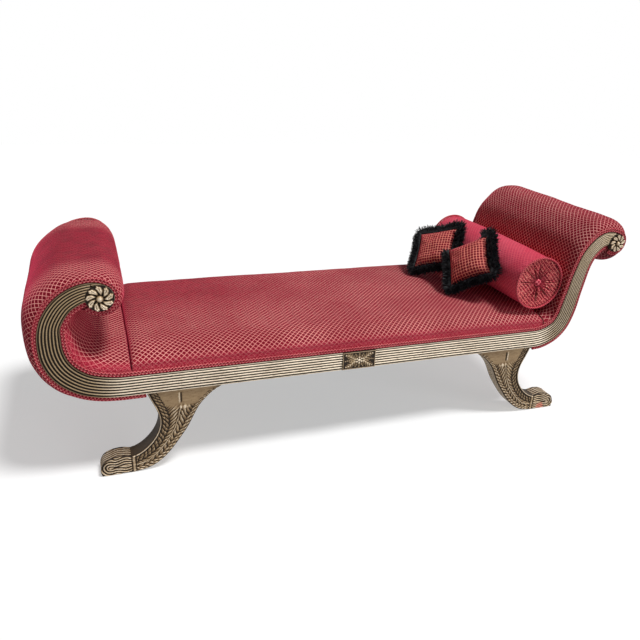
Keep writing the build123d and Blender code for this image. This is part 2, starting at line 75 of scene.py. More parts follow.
class Shade:
    """A shader socket that takes part in plain arithmetic."""

    def __init__(self, tree, socket=None):
        self.tree = tree
        self.socket = socket

    def node(self, kind, settings=(), sockets=(), out=0):
        """Add a node of a kind, with its settings and its sockets' values or links."""
        made = self.tree.nodes.new(kind)
        for name, value in dict(settings).items():
            setattr(made, name, value)
        for name, value in dict(sockets).items():
            if isinstance(value, Shade):
                self.tree.links.new(value.socket, made.inputs[name])
            else:
                made.inputs[name].default_value = value
        return Shade(self.tree, made.outputs[out])

    def feed(self, shader, name):
        """Link this to one of a shader's sockets."""
        self.tree.links.new(self.socket, shader.inputs[name])

    def math(self, operation, *values):
        return self.node("ShaderNodeMath", {"operation": operation}, dict(enumerate(values)))

    def __add__(self, other):
        return self.math("ADD", self, other)

    def __sub__(self, other):
        return self.math("SUBTRACT", self, other)

    def __rsub__(self, other):
        return self.math("SUBTRACT", other, self)

    def __mul__(self, other):
        return self.math("MULTIPLY", self, other)

    def __truediv__(self, other):
        return self.math("DIVIDE", self, other)

    __radd__ = __add__
    __rmul__ = __mul__

    def fract(self):
        return self.math("FRACT", self)

    def sine(self):
        return self.math("SINE", self)

    def abs(self):
        return self.math("ABSOLUTE", self)

    def max(self, other):
        return self.math("MAXIMUM", self, other)

    def step(self, low, high):
        """0 below low, 1 above high, smooth between."""
        settings = {"interpolation_type": "SMOOTHSTEP"}
        return self.node("ShaderNodeMapRange", settings, {"Value": self, "From Min": low, "From Max": high})

    def mix(self, colour_a, colour_b):
        """Colour a where this is 0, colour b where it is 1."""
        values = {0: self}
        for index, colour in ((6, colour_a), (7, colour_b)):
            values[index] = colour if isinstance(colour, Shade) else (*colour, 1)
        return self.node("ShaderNodeMix", {"data_type": "RGBA"}, values, out=2)


def new_material(name):
    """A node material with its Principled shader and a Shade to build from."""
    material = bpy.data.materials.new(name)
    material.use_nodes = True
    tree = material.node_tree
    shader = tree.nodes["Principled BSDF"]
    return material, shader, Shade(tree)


def clear_view(make):
    """1 for what the camera sees straight, in a gloss or through glass, and 0 for other light."""
    seen = make.node("ShaderNodeLightPath", out=0)
    shine = make.node("ShaderNodeLightPath", out=3)
    through = make.node("ShaderNodeLightPath", out=6)
    return seen.max(shine).max(through)


# The floor is white to the camera, apart from the soft shadow on it, and sheds little light itself.

FLOOR_SIZE = 14.0
FLOOR_GREY = (0.62, 0.62, 0.62, 1)
FLOOR_GLOW = 0.45
FLOOR_DIM = (0.42, 0.42, 0.42, 1)

bpy.ops.mesh.primitive_plane_add(size=FLOOR_SIZE, location=(0, 0, 0))
floor = bpy.context.object
floor.name = "floor"
material, shader, make = new_material("pale_floor")
shader.inputs["Base Color"].default_value = FLOOR_GREY
shader.inputs["Roughness"].default_value = 0.9
shader.inputs["Specular IOR Level"].default_value = 0.0
glow = make.node("ShaderNodeEmission", {}, {"Color": (1, 1, 1, 1), "Strength": FLOOR_GLOW})
plain = Shade(make.tree, shader.outputs[0])
lit = make.node("ShaderNodeAddShader", {}, {0: plain, 1: glow})
dim = make.node("ShaderNodeBsdfDiffuse", {}, {"Color": FLOOR_DIM})
final = make.node("ShaderNodeMixShader", {}, {0: clear_view(make), 1: dim, 2: lit})
final.feed(make.tree.nodes["Material Output"], "Surface")
floor.data.materials.append(material)

ROOM_LIGHT = 0.13          # how brightly the white backdrop lights the daybed

world = bpy.data.worlds.new("studio")
scene.world = world
world.use_nodes = True
back = world.node_tree.nodes["Background"]
back.inputs["Color"].default_value = (1, 1, 1, 1)
strength = ROOM_LIGHT + clear_view(Shade(world.node_tree)) * (1 - ROOM_LIGHT)
strength.feed(back, "Strength")


def soft_sun(name, place, spread, strength):
    """A sun that shines from a place towards the seat, softened by its spread in degrees."""
    seat_middle = Vector((0, 0, 0.4))
    bpy.ops.object.light_add(type="SUN", location=place)
    made = bpy.context.object
    made.name = name
    made.data.angle = radians(spread)
    made.data.energy = strength
    made.rotation_euler = (seat_middle - Vector(place)).to_track_quat("-Z", "Y").to_euler()


soft_sun("key_light", place=(0.90, -0.75, 3.0), spread=14, strength=2.65)
soft_sun("front_light", place=(2.1, -3.0, 1.0), spread=36, strength=0.80)

# ---------------------------------------------------------------------------
# Show wood: carved beech, gessoed and gilt, rubbed pale on the crests and left
# dark brown in the grooves. The pale crests are partly painted highlight and the dark
# grooves are partly painted shade. The reeded boards and rails are the CAD nodes.
# ---------------------------------------------------------------------------

GILT_PALE = (0.92, 0.79, 0.62)
GILT_WARM = (0.47, 0.335, 0.185)
GILT_MID = (0.26, 0.168, 0.088)
GILT_BROWN = (0.105, 0.062, 0.028)
CLAY_RED = (0.57, 0.215, 0.150)
GROOVE_DARK = (0.016, 0.009, 0.004)
REED_FLOOR_Y = 0.3555      # how far the grooves and the crests of the reeds stand from the middle
REED_CREST_Y = 0.3600


def gilt_material(name, relief, hollows, chip=None):
    """Rubbed gilding. relief gives the height, 1 on crests, how brown and shaded it is, and the strength of
    its painted glints.

    Below hollows' first height the wood goes dark, partly with dirt and partly with painted shade, and
    above the second it is rubbed clean and pale, partly as a painted highlight.
    chip is a place where the gilding is knocked off down to its red clay ground.
    """
    material, shader, make = new_material(name)
    place = make.node("ShaderNodeTexCoord", out=3)
    patches = make.node("ShaderNodeTexNoise", {}, {"Vector": place, "Scale": 11.0, "Detail": 5.0})
    fine = make.node("ShaderNodeTexNoise", {}, {"Vector": place, "Scale": 170.0, "Detail": 3.0})
    streak_way = make.node("ShaderNodeMapping", {}, {"Vector": place, "Scale": (14, 60, 60)})
    streaks = make.node("ShaderNodeTexNoise", {}, {"Vector": streak_way, "Scale": 4.0, "Detail": 4.0})
    crest, browned_and_shaded, painted_glint_share = relief(make, place)
    # Browner up the scrolls and in low carving: partly tarnish, partly painted shade.
    tone = (browned_and_shaded + (patches - 0.5) * 0.9 + (streaks - 0.5) * 0.5).step(0.0, 1.0)
    leaf = tone.mix(GILT_PALE, GILT_WARM)
    # Pale crests: partly rubbed gilding, partly a painted highlight.
    wear_and_highlight = (crest - 0.5) * 1.5 + (patches - 0.5) * 0.8 + (streaks - 0.5) * 0.7 - browned_and_shaded * 0.12
    rubbed = wear_and_highlight.step(0.05, 0.80)
    gold = rubbed.mix(GILT_MID, leaf)
    gold = (fine.step(0.56, 0.72) * 0.45).mix(gold, GILT_BROWN)
    # Painted glints: pale specks on the highest crests that stand in for highlights.
    sparkle = make.node("ShaderNodeTexNoise", {}, {"Vector": place, "Scale": 260.0, "Detail": 1.0})
    painted_glints = sparkle.step(0.54, 0.64)
    gold = (painted_glints * crest.step(0.78, 1.00) * painted_glint_share).mix(gold, GILT_PALE)
    # Dark grooves and hollows: partly dirt, partly painted shade.
    hollow = (crest + (fine - 0.5) * 0.10 - browned_and_shaded * 0.20).step(*hollows)
    grooves_dirt_and_shade = hollow.step(0.0, 0.7).mix(GROOVE_DARK, GILT_BROWN)
    colour = hollow.mix(grooves_dirt_and_shade, gold)
    if chip:
        away = make.node("ShaderNodeVectorMath", {"operation": "DISTANCE"}, {0: place, 1: chip}, out=1)
        bare = 1 - (away + (fine - 0.5) * 0.024).step(0.014, 0.021)
        colour = bare.mix(colour, CLAY_RED)
    colour.feed(shader, "Base Color")
    rough = 0.60 - rubbed * 0.22 + (fine - 0.5) * 0.15
    rough.feed(shader, "Roughness")
    metal = hollow * 0.35
    metal.feed(shader, "Metallic")
    shader.inputs["Specular IOR Level"].default_value = 0.25
    height = fine + streaks * 0.5
    bump = make.node("ShaderNodeBump", {}, {"Height": height, "Strength": 0.18, "Distance": 0.0012})
    bump.feed(shader, "Normal")
    return material


def reed_relief(make, place):
    """Reeds: pale along the straight rails, browner up the scrolls, partly tarnish and partly painted
    shade, with faint painted glints.
    """
    x = make.node("ShaderNodeSeparateXYZ", {}, {"Vector": place}, out=0)
    y = make.node("ShaderNodeSeparateXYZ", {}, {"Vector": place}, out=1).abs()
    left_upright_brown_and_shade = (0 - x).step(0.76, 0.94)
    right_upright_brown_and_shade = x.step(0.74, 0.82) * 0.60
    return (y - REED_FLOOR_Y) / (REED_CREST_Y - REED_FLOOR_Y), left_upright_brown_and_shade + right_upright_brown_and_shade, 0.10


def carved_relief(make, place):
    """Carving: the height that the carver's mesh keeps on each point, browner where it is low, partly dirt
    and partly painted shade, with strong painted glints.
    """
    kept = make.node("ShaderNodeAttribute", {"attribute_name": "relief"}, {}, out=2)
    return kept * 1.28, 1.60 - kept * 1.30, 0.90


def dress(material, *nodes):
    """Give CAD nodes a material."""
    for node in nodes:
        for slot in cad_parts[node].material_slots:
            slot.material = material


RIGHT_TOE_CHIP = (0.822, -0.353, 0.008)

reed_gilt = gilt_material("reed_gilt", reed_relief, hollows=(0.60, 0.93))
carved_gilt = gilt_material("carved_gilt", carved_relief, hollows=(0.18, 0.65), chip=RIGHT_TOE_CHIP)
dress(reed_gilt, "long_rail_front", "long_rail_back", "left_scroll_front", "left_scroll_back",
      "right_scroll_front", "right_scroll_back")

# ---------------------------------------------------------------------------
# Hidden frame: sawn hardwood rails, slats, beams, blocks and dowels, jute
# webbing stretched over the rails, and a black lining under the seat.
# ---------------------------------------------------------------------------

WOOD_DARK = (0.42, 0.27, 0.13)
WOOD_PALE = (0.60, 0.44, 0.26)

material, shader, make = new_material("sawn_wood")
place = make.node("ShaderNodeTexCoord", out=3)
grain_way = make.node("ShaderNodeMapping", {}, {"Vector": place, "Scale": (30, 3, 30)})
grain = make.node("ShaderNodeTexNoise", {}, {"Vector": grain_way, "Scale": 3.0, "Detail": 6.0})
colour = grain.step(0.3, 0.7).mix(WOOD_DARK, WOOD_PALE)
colour.feed(shader, "Base Color")
shader.inputs["Roughness"].default_value = 0.75
bump = make.node("ShaderNodeBump", {}, {"Height": grain, "Strength": 0.3, "Distance": 0.001})
bump.feed(shader, "Normal")
dress(material, "leg_blocks", "leg_dowels", "left_end_rail", "right_end_rail", "cross_rails",
      "left_arm_slats", "right_arm_slats", "left_roll_beam", "right_roll_beam")


def woven_cloth(name, dark, light, pitch):
    """A plain coarse weave, for webbing and lining."""
    material, shader, make = new_material(name)
    place = make.node("ShaderNodeTexCoord", out=3)
    x = make.node("ShaderNodeSeparateXYZ", {}, {"Vector": place}, out=0)
    y = make.node("ShaderNodeSeparateXYZ", {}, {"Vector": place}, out=1)
    threads = (x * (2 * pi / pitch)).sine() * (y * (2 * pi / pitch)).sine()
    colour = threads.step(-0.6, 0.6).mix(dark, light)
    colour.feed(shader, "Base Color")
    shader.inputs["Roughness"].default_value = 0.9
    bump = make.node("ShaderNodeBump", {}, {"Height": threads, "Strength": 0.5, "Distance": 0.0006})
    bump.feed(shader, "Normal")
    return material


jute = woven_cloth("jute", dark=(0.30, 0.21, 0.11), light=(0.52, 0.40, 0.24), pitch=0.0032)
lining = woven_cloth("lining", dark=(0.006, 0.006, 0.006), light=(0.03, 0.03, 0.03), pitch=0.0016)
dress(jute, "seat_webbing_cross", "seat_webbing_long")
dress(lining, "dust_cover")

# ---------------------------------------------------------------------------
# Arms: stuffing under one fitted cover on each arm, tight at the double welts
# and fuller towards the middle. The left arm curls in, the right arm curls out.
# The cover is crimson, woven with a pale gold lattice round dark red squares.
# ---------------------------------------------------------------------------

CRIMSON = (0.37, 0.009, 0.030)
CRIMSON_LIT = (0.52, 0.022, 0.052)
SQUARE_DARK = (0.100, 0.0010, 0.005)
LATTICE_PALE = (0.97, 0.59, 0.50)
SHADE_DARK = (0.022, 0.0005, 0.002)
DUSTY = (0.125, 0.009, 0.018)
FLECK = (0.74, 0.145, 0.185)
WEAVE_RIB = 0.0012


def lattice_fabric(name, cell, ground=CRIMSON, ground_lit=CRIMSON_LIT, pale=LATTICE_PALE, line=1.0,
                   dark=SQUARE_DARK, speck=0.6):
    """Velvet woven in a lattice of a given square size, at 45 degrees to the cloth's edges.

    It follows a piece's UV map, which is in metres on the cloth. line and speck say how strong the
    lattice and the dark specks of the plain border are, 0 to 1.
    """
    material, shader, make = new_material(name)
    uv = make.node("ShaderNodeUVMap", {"uv_map": "cloth"})
    wander = make.node("ShaderNodeTexNoise", {}, {"Vector": uv, "Scale": 16.0, "Detail": 0.0}, out=0)
    u = make.node("ShaderNodeSeparateXYZ", {}, {"Vector": uv}, out=0) + (wander - 0.5) * 0.005
    v = make.node("ShaderNodeSeparateXYZ", {}, {"Vector": uv}, out=1) + (wander - 0.5) * 0.004
    across = ((u + v) * (sqrt(0.5) / cell)).fract() - 0.5
    along = ((u - v) * (sqrt(0.5) / cell)).fract() - 0.5
    reach = (across.abs() * 2).max(along.abs() * 2)
    rib = (u * (2 * pi / WEAVE_RIB)).sine() * (v * (2 * pi / WEAVE_RIB)).sine()
    place = make.node("ShaderNodeTexCoord", out=3)
    patches = make.node("ShaderNodeTexNoise", {}, {"Vector": place, "Scale": 6.0, "Detail": 4.0})
    slubs = make.node("ShaderNodeTexNoise", {}, {"Vector": uv, "Scale": 300.0, "Detail": 2.0})
    blotches = make.node("ShaderNodeTexNoise", {}, {"Vector": place, "Scale": 34.0, "Detail": 5.0})
    plain = make.node("ShaderNodeAttribute", {"attribute_name": "plain"}, {}, out=2)
    worn = make.node("ShaderNodeAttribute", {"attribute_name": "worn"}, {}, out=2)
    painted_shade = make.node("ShaderNodeAttribute", {"attribute_name": "painted_shade"}, {}, out=2)
    shown = (1 - plain * 0.90) * (1 - worn * 0.80)
    lattice = (reach + rib * 0.02 + (slubs - 0.5) * 0.05).step(0.875, 0.93) * shown
    square = (1 - (reach + rib * 0.04).step(0.54, 0.74)) * (1 - plain * 0.92) * (1 - worn * 0.30)
    red = (patches.step(0.35, 0.65) * 0.5 + slubs * 0.3 + (blotches - 0.3) * 0.9).mix(ground, ground_lit)
    red = (square * (blotches * 0.7 + 0.45)).mix(red, dark)
    rubbed = (blotches.step(0.40, 0.64) * 0.45 + 0.30) * worn
    red = rubbed.mix(red, DUSTY)
    specks = (1 - slubs.step(0.38, 0.50)) * plain * speck
    red = specks.mix(red, DUSTY)
    flecks = slubs.step(0.50, 0.62) * plain * 0.75
    red = flecks.mix(red, FLECK)
    bright = patches.step(0.30, 0.62) * 0.34 + 0.56
    colour = (lattice * (bright + slubs * 0.25) * line).mix(red, pale)
    # Painted shade: darkens the creases, the bolster's pleats and the cloth under the curls.
    colour = (painted_shade * 0.9).mix(colour, SHADE_DARK)
    colour.feed(shader, "Base Color")
    rough = 0.85 - lattice * 0.30
    rough.feed(shader, "Roughness")
    shader.inputs["Sheen Weight"].default_value = 0.7
    shader.inputs["Sheen Roughness"].default_value = 0.42
    shader.inputs["Sheen Tint"].default_value = (1.0, 0.06, 0.15, 1)
    shader.inputs["Specular IOR Level"].default_value = 0.15
    height = lattice * 0.9 - square * 0.4 + rib * 0.18 + slubs * 0.25
    bump = make.node("ShaderNodeBump", {}, {"Height": height, "Strength": 0.5, "Distance": 0.0010})
    bump.feed(shader, "Normal")
    return material


seat_cloth = lattice_fabric("seat_cloth", cell=0.0129)

# The middle lines of the gilt scrolls: x, z, heading in degrees and width of the band. They and the
# middles of the curls are in millimetres.

LEFT_SCROLL = [
    (-740, 327, 180, 66), (-797, 327, 180, 66), (-897, 341, 163, 70), (-961, 379, 137, 71),
    (-998, 438, 108, 69), (-1006, 496, 90, 66), (-993, 567, 63, 59), (-944, 626, 34, 56),
    (-876, 650, 2, 54)]
RIGHT_SCROLL = [
    (728, 327, 0, 66), (763, 332, 16, 67), (805, 351, 36, 66), (832, 377, 58, 62), (853, 429, 77, 59),
    (872, 533, 80, 53), (894, 630, 72, 48), (922, 679, 48, 48), (967, 713, 18, 49)]
LEFT_CURL = (-853.5, 629.0)
RIGHT_CURL = (1013.0, 698.0)


def tangent_arc(start, way, end, gap):
    """Points of the arc that leaves start along a unit way and reaches end, without its end."""
    chord = end - start
    bend = way[0] * chord[1] - way[1] * chord[0]
    steps = max(2, round(hypot(*chord) / gap))
    if abs(bend) < 1e-6 * hypot(*chord):
        return [start + chord * index / steps for index in range(steps)]
    radius = chord.dot(chord) / (2 * bend)
    centre = start + radius * np.array([-way[1], way[0]])
    sweep = 2 * atan2(bend, way.dot(chord))
    points = []
    for index in range(steps):
        turn = sweep * index / steps
        arm = start - centre
        points.append(centre + np.array([arm[0] * cos(turn) - arm[1] * sin(turn),
                                         arm[0] * sin(turn) + arm[1] * cos(turn)]))
    return points


def flow(stations, offsets, gap=5.0):
    """Points, in metres, of tangent arcs through stations shifted to the left of their headings."""
    places = []
    for (x, z, heading, _), offset in zip(stations, offsets):
        turn = radians(heading)
        places.append((np.array([x - sin(turn) * offset, z + cos(turn) * offset]),
                       np.array([cos(turn), sin(turn)])))
    points = []
    for (start, start_way), (end, end_way) in zip(places, places[1:]):
        chord = end - start
        along = chord.dot(start_way + end_way)
        spread = 2 * (1 - start_way.dot(end_way))
        if spread < 1e-5:
            reach = chord.dot(chord) / (2 * along)
        else:
            reach = (sqrt(along ** 2 + spread * chord.dot(chord)) - along) / spread
        near = start + start_way * reach
        far = end - end_way * reach
        middle = (near + far) / 2
        points += tangent_arc(start, start_way, middle, gap)
        points += tangent_arc(middle, (far - near) / hypot(*(far - near)), end, gap)
    points.append(places[-1][0])
    return np.array(points) / 1000


def arc_points(centre, radius, start, end, steps):
    """Points on an arc, from a start to an end angle in degrees, without its two ends."""
    angles = np.radians(np.linspace(start, end, steps + 2)[1:-1])
    return np.stack([centre[0] + radius * np.cos(angles), centre[1] + radius * np.sin(angles)], 1) / 1000


def run_along(points):
    """How far along a flat line each of its points lies."""
    return np.concatenate([[0], np.cumsum(np.hypot(*np.diff(points, axis=0).T))])


def resample(points, count):
    """The same line with evenly spaced points."""
    lengths = run_along(points)
    wanted = np.linspace(0, lengths[-1], count)
    return np.stack([np.interp(wanted, lengths, points[:, axis]) for axis in (0, 1)], 1)


def relax(points, passes):
    """The same line, or run of values, with its kinks eased away and its ends kept."""
    points = points.copy()
    for _ in range(passes):
        points[1:-1] += 0.5 * ((points[:-2] + points[2:]) / 2 - points[1:-1])
    return points


def mesh_object(name, verts, faces, uvs=None):
    """A mesh with an optional UV for each vertex."""
    mesh = bpy.data.meshes.new(name)
    mesh.from_pydata([tuple(v) for v in verts], [], faces)
    made = bpy.data.objects.new(name, mesh)
    scene.collection.objects.link(made)
    if uvs is not None:
        layer = mesh.uv_layers.new(name="cloth")
        loops = np.zeros(len(mesh.loops), dtype=int)
        mesh.loops.foreach_get("vertex_index", loops)
        layer.data.foreach_set("uv", np.asarray(uvs)[loops].astype(float).ravel())
    mesh.shade_smooth()
    return made


def grid_faces(rows, columns, closed=False):
    """Quads of a grid of points; closed joins its last column to its first."""
    faces = []
    for row in range(rows - 1):
        for column in range(columns if closed else columns - 1):
            a = row * columns + column
            b = row * columns + (column + 1) % columns
            faces.append((a, b, b + columns, a + columns))
    return faces


def end_faces(rows, columns):
    """The two faces that close a grid's first and last rows."""
    return [tuple(range(columns)), tuple(range((rows - 1) * columns, rows * columns))]


def ripple(x, y, z):
    """A soft unevenness, from -1 to 1, at a place."""
    return noise.noise(Vector((x, y, z)))


def keep_cloth(piece, plain=0.0, worn=0.0, painted_shade=0.0):
    """Keep how plain, how worn and how darkened with painted shade each point of the cloth is, 0 to 1."""
    for name, values in (("plain", plain), ("worn", worn), ("painted_shade", painted_shade)):
        layer = piece.data.attributes.new(name, "FLOAT", "POINT")
        spread = np.ones(len(piece.data.vertices), dtype=np.float32) * np.asarray(values, dtype=np.float32)
        layer.data.foreach_set("value", spread)


def ease(value, low, high):
    """0 below low, 1 above high, smooth between."""
    t = np.clip((value - low) / (high - low), 0, 1)
    return t * t * (3 - 2 * t)


def outward(piece, angle=40):
    """Recalculate a piece's normals to point out, and shade it smooth under an angle."""
    bpy.ops.object.select_all(action="DESELECT")
    piece.select_set(True)
    bpy.context.view_layer.objects.active = piece
    bpy.ops.object.mode_set(mode="EDIT")
    bpy.ops.mesh.select_all(action="SELECT")
    bpy.ops.mesh.normals_make_consistent(inside=False)
    bpy.ops.object.mode_set(mode="OBJECT")
    bpy.ops.object.shade_smooth_by_angle(angle=radians(angle))
    piece.select_set(False)


ARM_FACE_Y = 0.350         # where a cover meets its gilt bands
ARM_COLUMNS = 260          # points round an arm's outline
ROUNDED_ROWS = 16          # rows over which a cover rounds down to its end
MIDDLE_ROWS = 54
BACK_START_Y = 0.300       # where the back would start to round over, but for the cove
CURL_STEPS = 60            # points round a curl


def widths(stations, side, extra):
    """Offsets that lie outside the band by some amount at each station."""
    return [side * (width / 2 + more) for (*_, width), more in zip(stations, extra)]


def under(face, full):
    """For each point of the full line, the point of the tighter line that lies under it."""
    count = len(full)
    search = 26
    nearest = np.zeros(count)
    for index, spot in enumerate(full):
        first = max(0, index - search)
        near = face[first:index + search + 1]
        nearest[index] = first + np.argmin(np.hypot(*(near - spot).T))
    nearest = np.maximum.accumulate(nearest)
    nearest[0], nearest[-1] = 0, count - 1
    nearest = relax(nearest, passes=40)
    return np.stack([np.interp(nearest, np.arange(count), face[:, axis]) for axis in (0, 1)], 1)


def arm_cover(name, full, face, full_y, back_y, cove_y, cove_from, faded, curl):
    """A stuffed arm from full, its outline in the middle, and face, the tighter one at its ends.

    It rounds over from full_y at the front, back_y at the back, and cove_y inside, past the share
    cove_from of the outline, where its ends have a plain border. faded is the stretch of
    the outline whose pile is rubbed until the lattice hardly shows. The cloth under the curl
    is darkened with painted shade.
    """
    count = ARM_COLUMNS
    full = relax(resample(full, count), passes=30)
    face = under(relax(resample(face, count), passes=8), full)
    inside = ease(np.linspace(0, 1, count), cove_from - 0.03, cove_from + 0.06)
    start_y = full_y + (cove_y - full_y) * inside
    steps = np.sin(np.linspace(0, pi / 2, ROUNDED_ROWS))
    middle_rows = [(place, None) for place in np.linspace(-1, 1, MIDDLE_ROWS + 2)[1:-1]]
    rows = [(-1, step) for step in steps[::-1]] + middle_rows + [(1, step) for step in steps]
    places = np.zeros((len(rows), count, 3))
    for row, (place, step) in enumerate(rows):
        share = 1.0 if step is None else (1 - step ** 2.1) ** (1 / 2.1)
        begin = start_y if place < 0 else np.minimum(start_y * 0.3 + BACK_START_Y * 0.7, back_y)
        y = place * begin if step is None else place * (begin + (ARM_FACE_Y - begin) * step)
        line = face + (full - face) * share
        for index, (x, z) in enumerate(line):
            soft = ripple(x * 7, y[index] * 7, z * 7) * 0.0022 * share
            soft += ripple(x * 19, y[index] * 19, z * 19) * 0.0008 * share
            places[row, index] = (x + soft, y[index], z + soft)
    runs = np.zeros((len(rows), count))
    runs[1:] = np.cumsum(np.linalg.norm(np.diff(places, axis=0), axis=2), axis=0)
    runs -= runs[len(rows) // 2]
    lengths = run_along(full)
    uvs = np.stack([np.tile(lengths, (len(rows), 1)), runs], -1).reshape(-1, 2)
    verts = places.reshape(-1, 3)
    faces = grid_faces(len(rows), count) + end_faces(len(rows), count)
    faces += [(row * count, (row + 1) * count, (row + 2) * count - 1, (row + 1) * count - 1)
              for row in range(len(rows) - 1)]
    piece = mesh_object(name, verts, faces, uvs)
    along = np.tile(np.linspace(0, 1, count), len(rows))
    aside = np.abs(verts[:, 1])
    border = 0.9 * ease(aside, 0.318, 0.347) * ease(along, cove_from + 0.03, cove_from + 0.10)
    rubbed = ease(along, faded[0], faded[0] + 0.12) * (1 - ease(along, faded[1] - 0.12, faded[1]))
    rubbed *= 1 - ease(aside, 0.16, 0.27)
    # Painted shade on the cloth under the curl, which the curl hides from the light.
    from_curl = verts[:, [0, 2]] - np.array(curl) / 1000
    turned = np.degrees(np.arctan2(from_curl[:, 1], from_curl[:, 0]))
    curl_shade = 0.85 * ease(turned, -165, -130) * (1 - ease(turned, -75, -35))
    curl_shade *= 1 - ease(np.hypot(*from_curl.T), 0.088, 0.104)
    keep_cloth(piece, plain=border, worn=rubbed, painted_shade=curl_shade)
    outward(piece, 50)
    piece.data.materials.append(seat_cloth)
    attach(piece, BODY)
    return piece


LEFT_EYE_R = 53            # radius of the left curl at its ends, in millimetres
LEFT_COVE_END_X = -0.7805  # where the cove goes down behind the seat
LEFT_SWELL = 0.85          # how much fuller still the left roll is on top


def left_outline(outer, inner, radius):
    """Up the outside, round the curl and back through the cove to the seat."""
    outside = flow(LEFT_SCROLL, widths(LEFT_SCROLL, 1, outer))
    cove = flow(LEFT_SCROLL[:8], widths(LEFT_SCROLL[:8], -1, inner))[::-1]
    cove = cove[cove[:, 0] < LEFT_COVE_END_X]
    start = outside[-1] * 1000 - LEFT_CURL
    end = cove[0] * 1000 - LEFT_CURL
    first = degrees(atan2(start[1], start[0]))
    last = degrees(atan2(end[1], end[0])) - 360 * (atan2(end[1], end[0]) > 0)
    fuller = np.sin(pi * np.linspace(0, 1, CURL_STEPS) ** 1.4) ** 2
    swell = radius + (radius - LEFT_EYE_R) * LEFT_SWELL * fuller
    return np.concatenate([outside, arc_points(LEFT_CURL, swell, first, last, CURL_STEPS), cove])


left_arm = arm_cover(
    "left_arm_cover",
    full=left_outline([18, 24, 34, 43, 43, 43, 54, 40, 18], [52, 56, 61, 66, 67, 62, 46, 26], 68),
    face=left_outline([9, 10, 10, 10, 10, 10, 10, 9, 8], [22, 19, 15, 12, 11, 10, 10, 10], LEFT_EYE_R),
    full_y=0.262, back_y=0.190, cove_y=0.130, cove_from=0.78, faded=(0.30, 0.76), curl=LEFT_CURL)
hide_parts("left_arm_inside", "left_arm_outside", "left_arm_roll")


RIGHT_TOP = (RIGHT_CURL[0], 717, 0, 40)    # the right scroll's line carried on over the curl
RIGHT_SLOPE_END_X = 0.764                  # where the arm goes down behind the seat


def right_outline(outer, inner, radius):
    """Up the outside, under and round the curl, then down the seat side."""
    outside = flow(RIGHT_SCROLL[:8], widths(RIGHT_SCROLL[:8], -1, outer))
    path = RIGHT_SCROLL + [RIGHT_TOP]
    offsets = widths(path, 1, inner)
    offsets[-1] = RIGHT_CURL[1] + radius - RIGHT_TOP[1]
    slope = flow(path, offsets)[::-1]
    slope = slope[slope[:, 0] > RIGHT_SLOPE_END_X]
    start = outside[-1] * 1000 - RIGHT_CURL
    first = degrees(atan2(start[1], start[0]))
    return np.concatenate([outside, arc_points(RIGHT_CURL, radius, first, 90, CURL_STEPS), slope])


right_arm = arm_cover(
    "right_arm_cover",
    full=right_outline([20, 24, 28, 30, 30, 30, 29, 26], [48, 47, 40, 31, 19, 11, 23, 36, 46, 46], 87),
    face=right_outline([9, 10, 10, 10, 10, 10, 10, 10], [24, 22, 18, 13, 9, 7, 8, 9, 10, 10], 51),
    full_y=0.272, back_y=0.289, cove_y=0.235, cove_from=0.94, faded=(0.38, 0.50), curl=RIGHT_CURL)
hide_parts("right_arm_inside", "right_arm_outside", "right_arm_roll")

# ---------------------------------------------------------------------------
# Seat: a long crowned pad under the same fabric, sewn along a seam above the
# welts and pulled down into a crease at each arm.
# ---------------------------------------------------------------------------

SEAT_LEFT_X = -0.778
SEAT_RIGHT_X = 0.762
SEAT_LOW_Z = 0.363
SEAM_Z = 0.387
CROWN_Z = 0.441
SEAT_HALF_Y = 0.3495
FRONT_SHOULDER = (-0.222, 1.0)     # y where the crown begins, and how round its corner is
BACK_SHOULDER = (-0.255, 0.72)
CROWN_RISE = 0.0030                # from the shoulders to the middle
SEAT_TURN = 0.046                  # the length over which the crown dips at each arm
SEAT_DIP = 0.026


def seat_line(dip):
    """The seat's outline in y and z from front to back; dip lowers the crown."""
    border = [(-SEAT_HALF_Y, SEAT_LOW_Z), (-SEAT_HALF_Y - 0.0005, 0.374), (-SEAT_HALF_Y, SEAM_Z - 0.003),
              (-SEAT_HALF_Y + 0.0014, SEAM_Z), (-SEAT_HALF_Y + 0.0007, SEAM_Z + 0.004)]
    crown = CROWN_Z - dip
    halves = []
    for shoulder_y, power in (FRONT_SHOULDER, BACK_SHOULDER):
        shoulder_z = crown - CROWN_RISE
        corner = []
        for angle in np.radians(np.linspace(172, 95, 26)):
            corner.append((shoulder_y + (SEAT_HALF_Y + shoulder_y) * -abs(cos(angle)) ** power,
                           SEAM_Z + 0.004 + (shoulder_z - SEAM_Z - 0.004) * sin(angle) ** power))
        top = []
        for y in np.linspace(shoulder_y - 0.004, 0, 34):
            top.append((y, crown - CROWN_RISE * (y / shoulder_y) ** 2))
        halves.append(border + corner + top)
    return np.array(halves[0] + [(-y, z) for y, z in reversed(halves[1][:-1])])


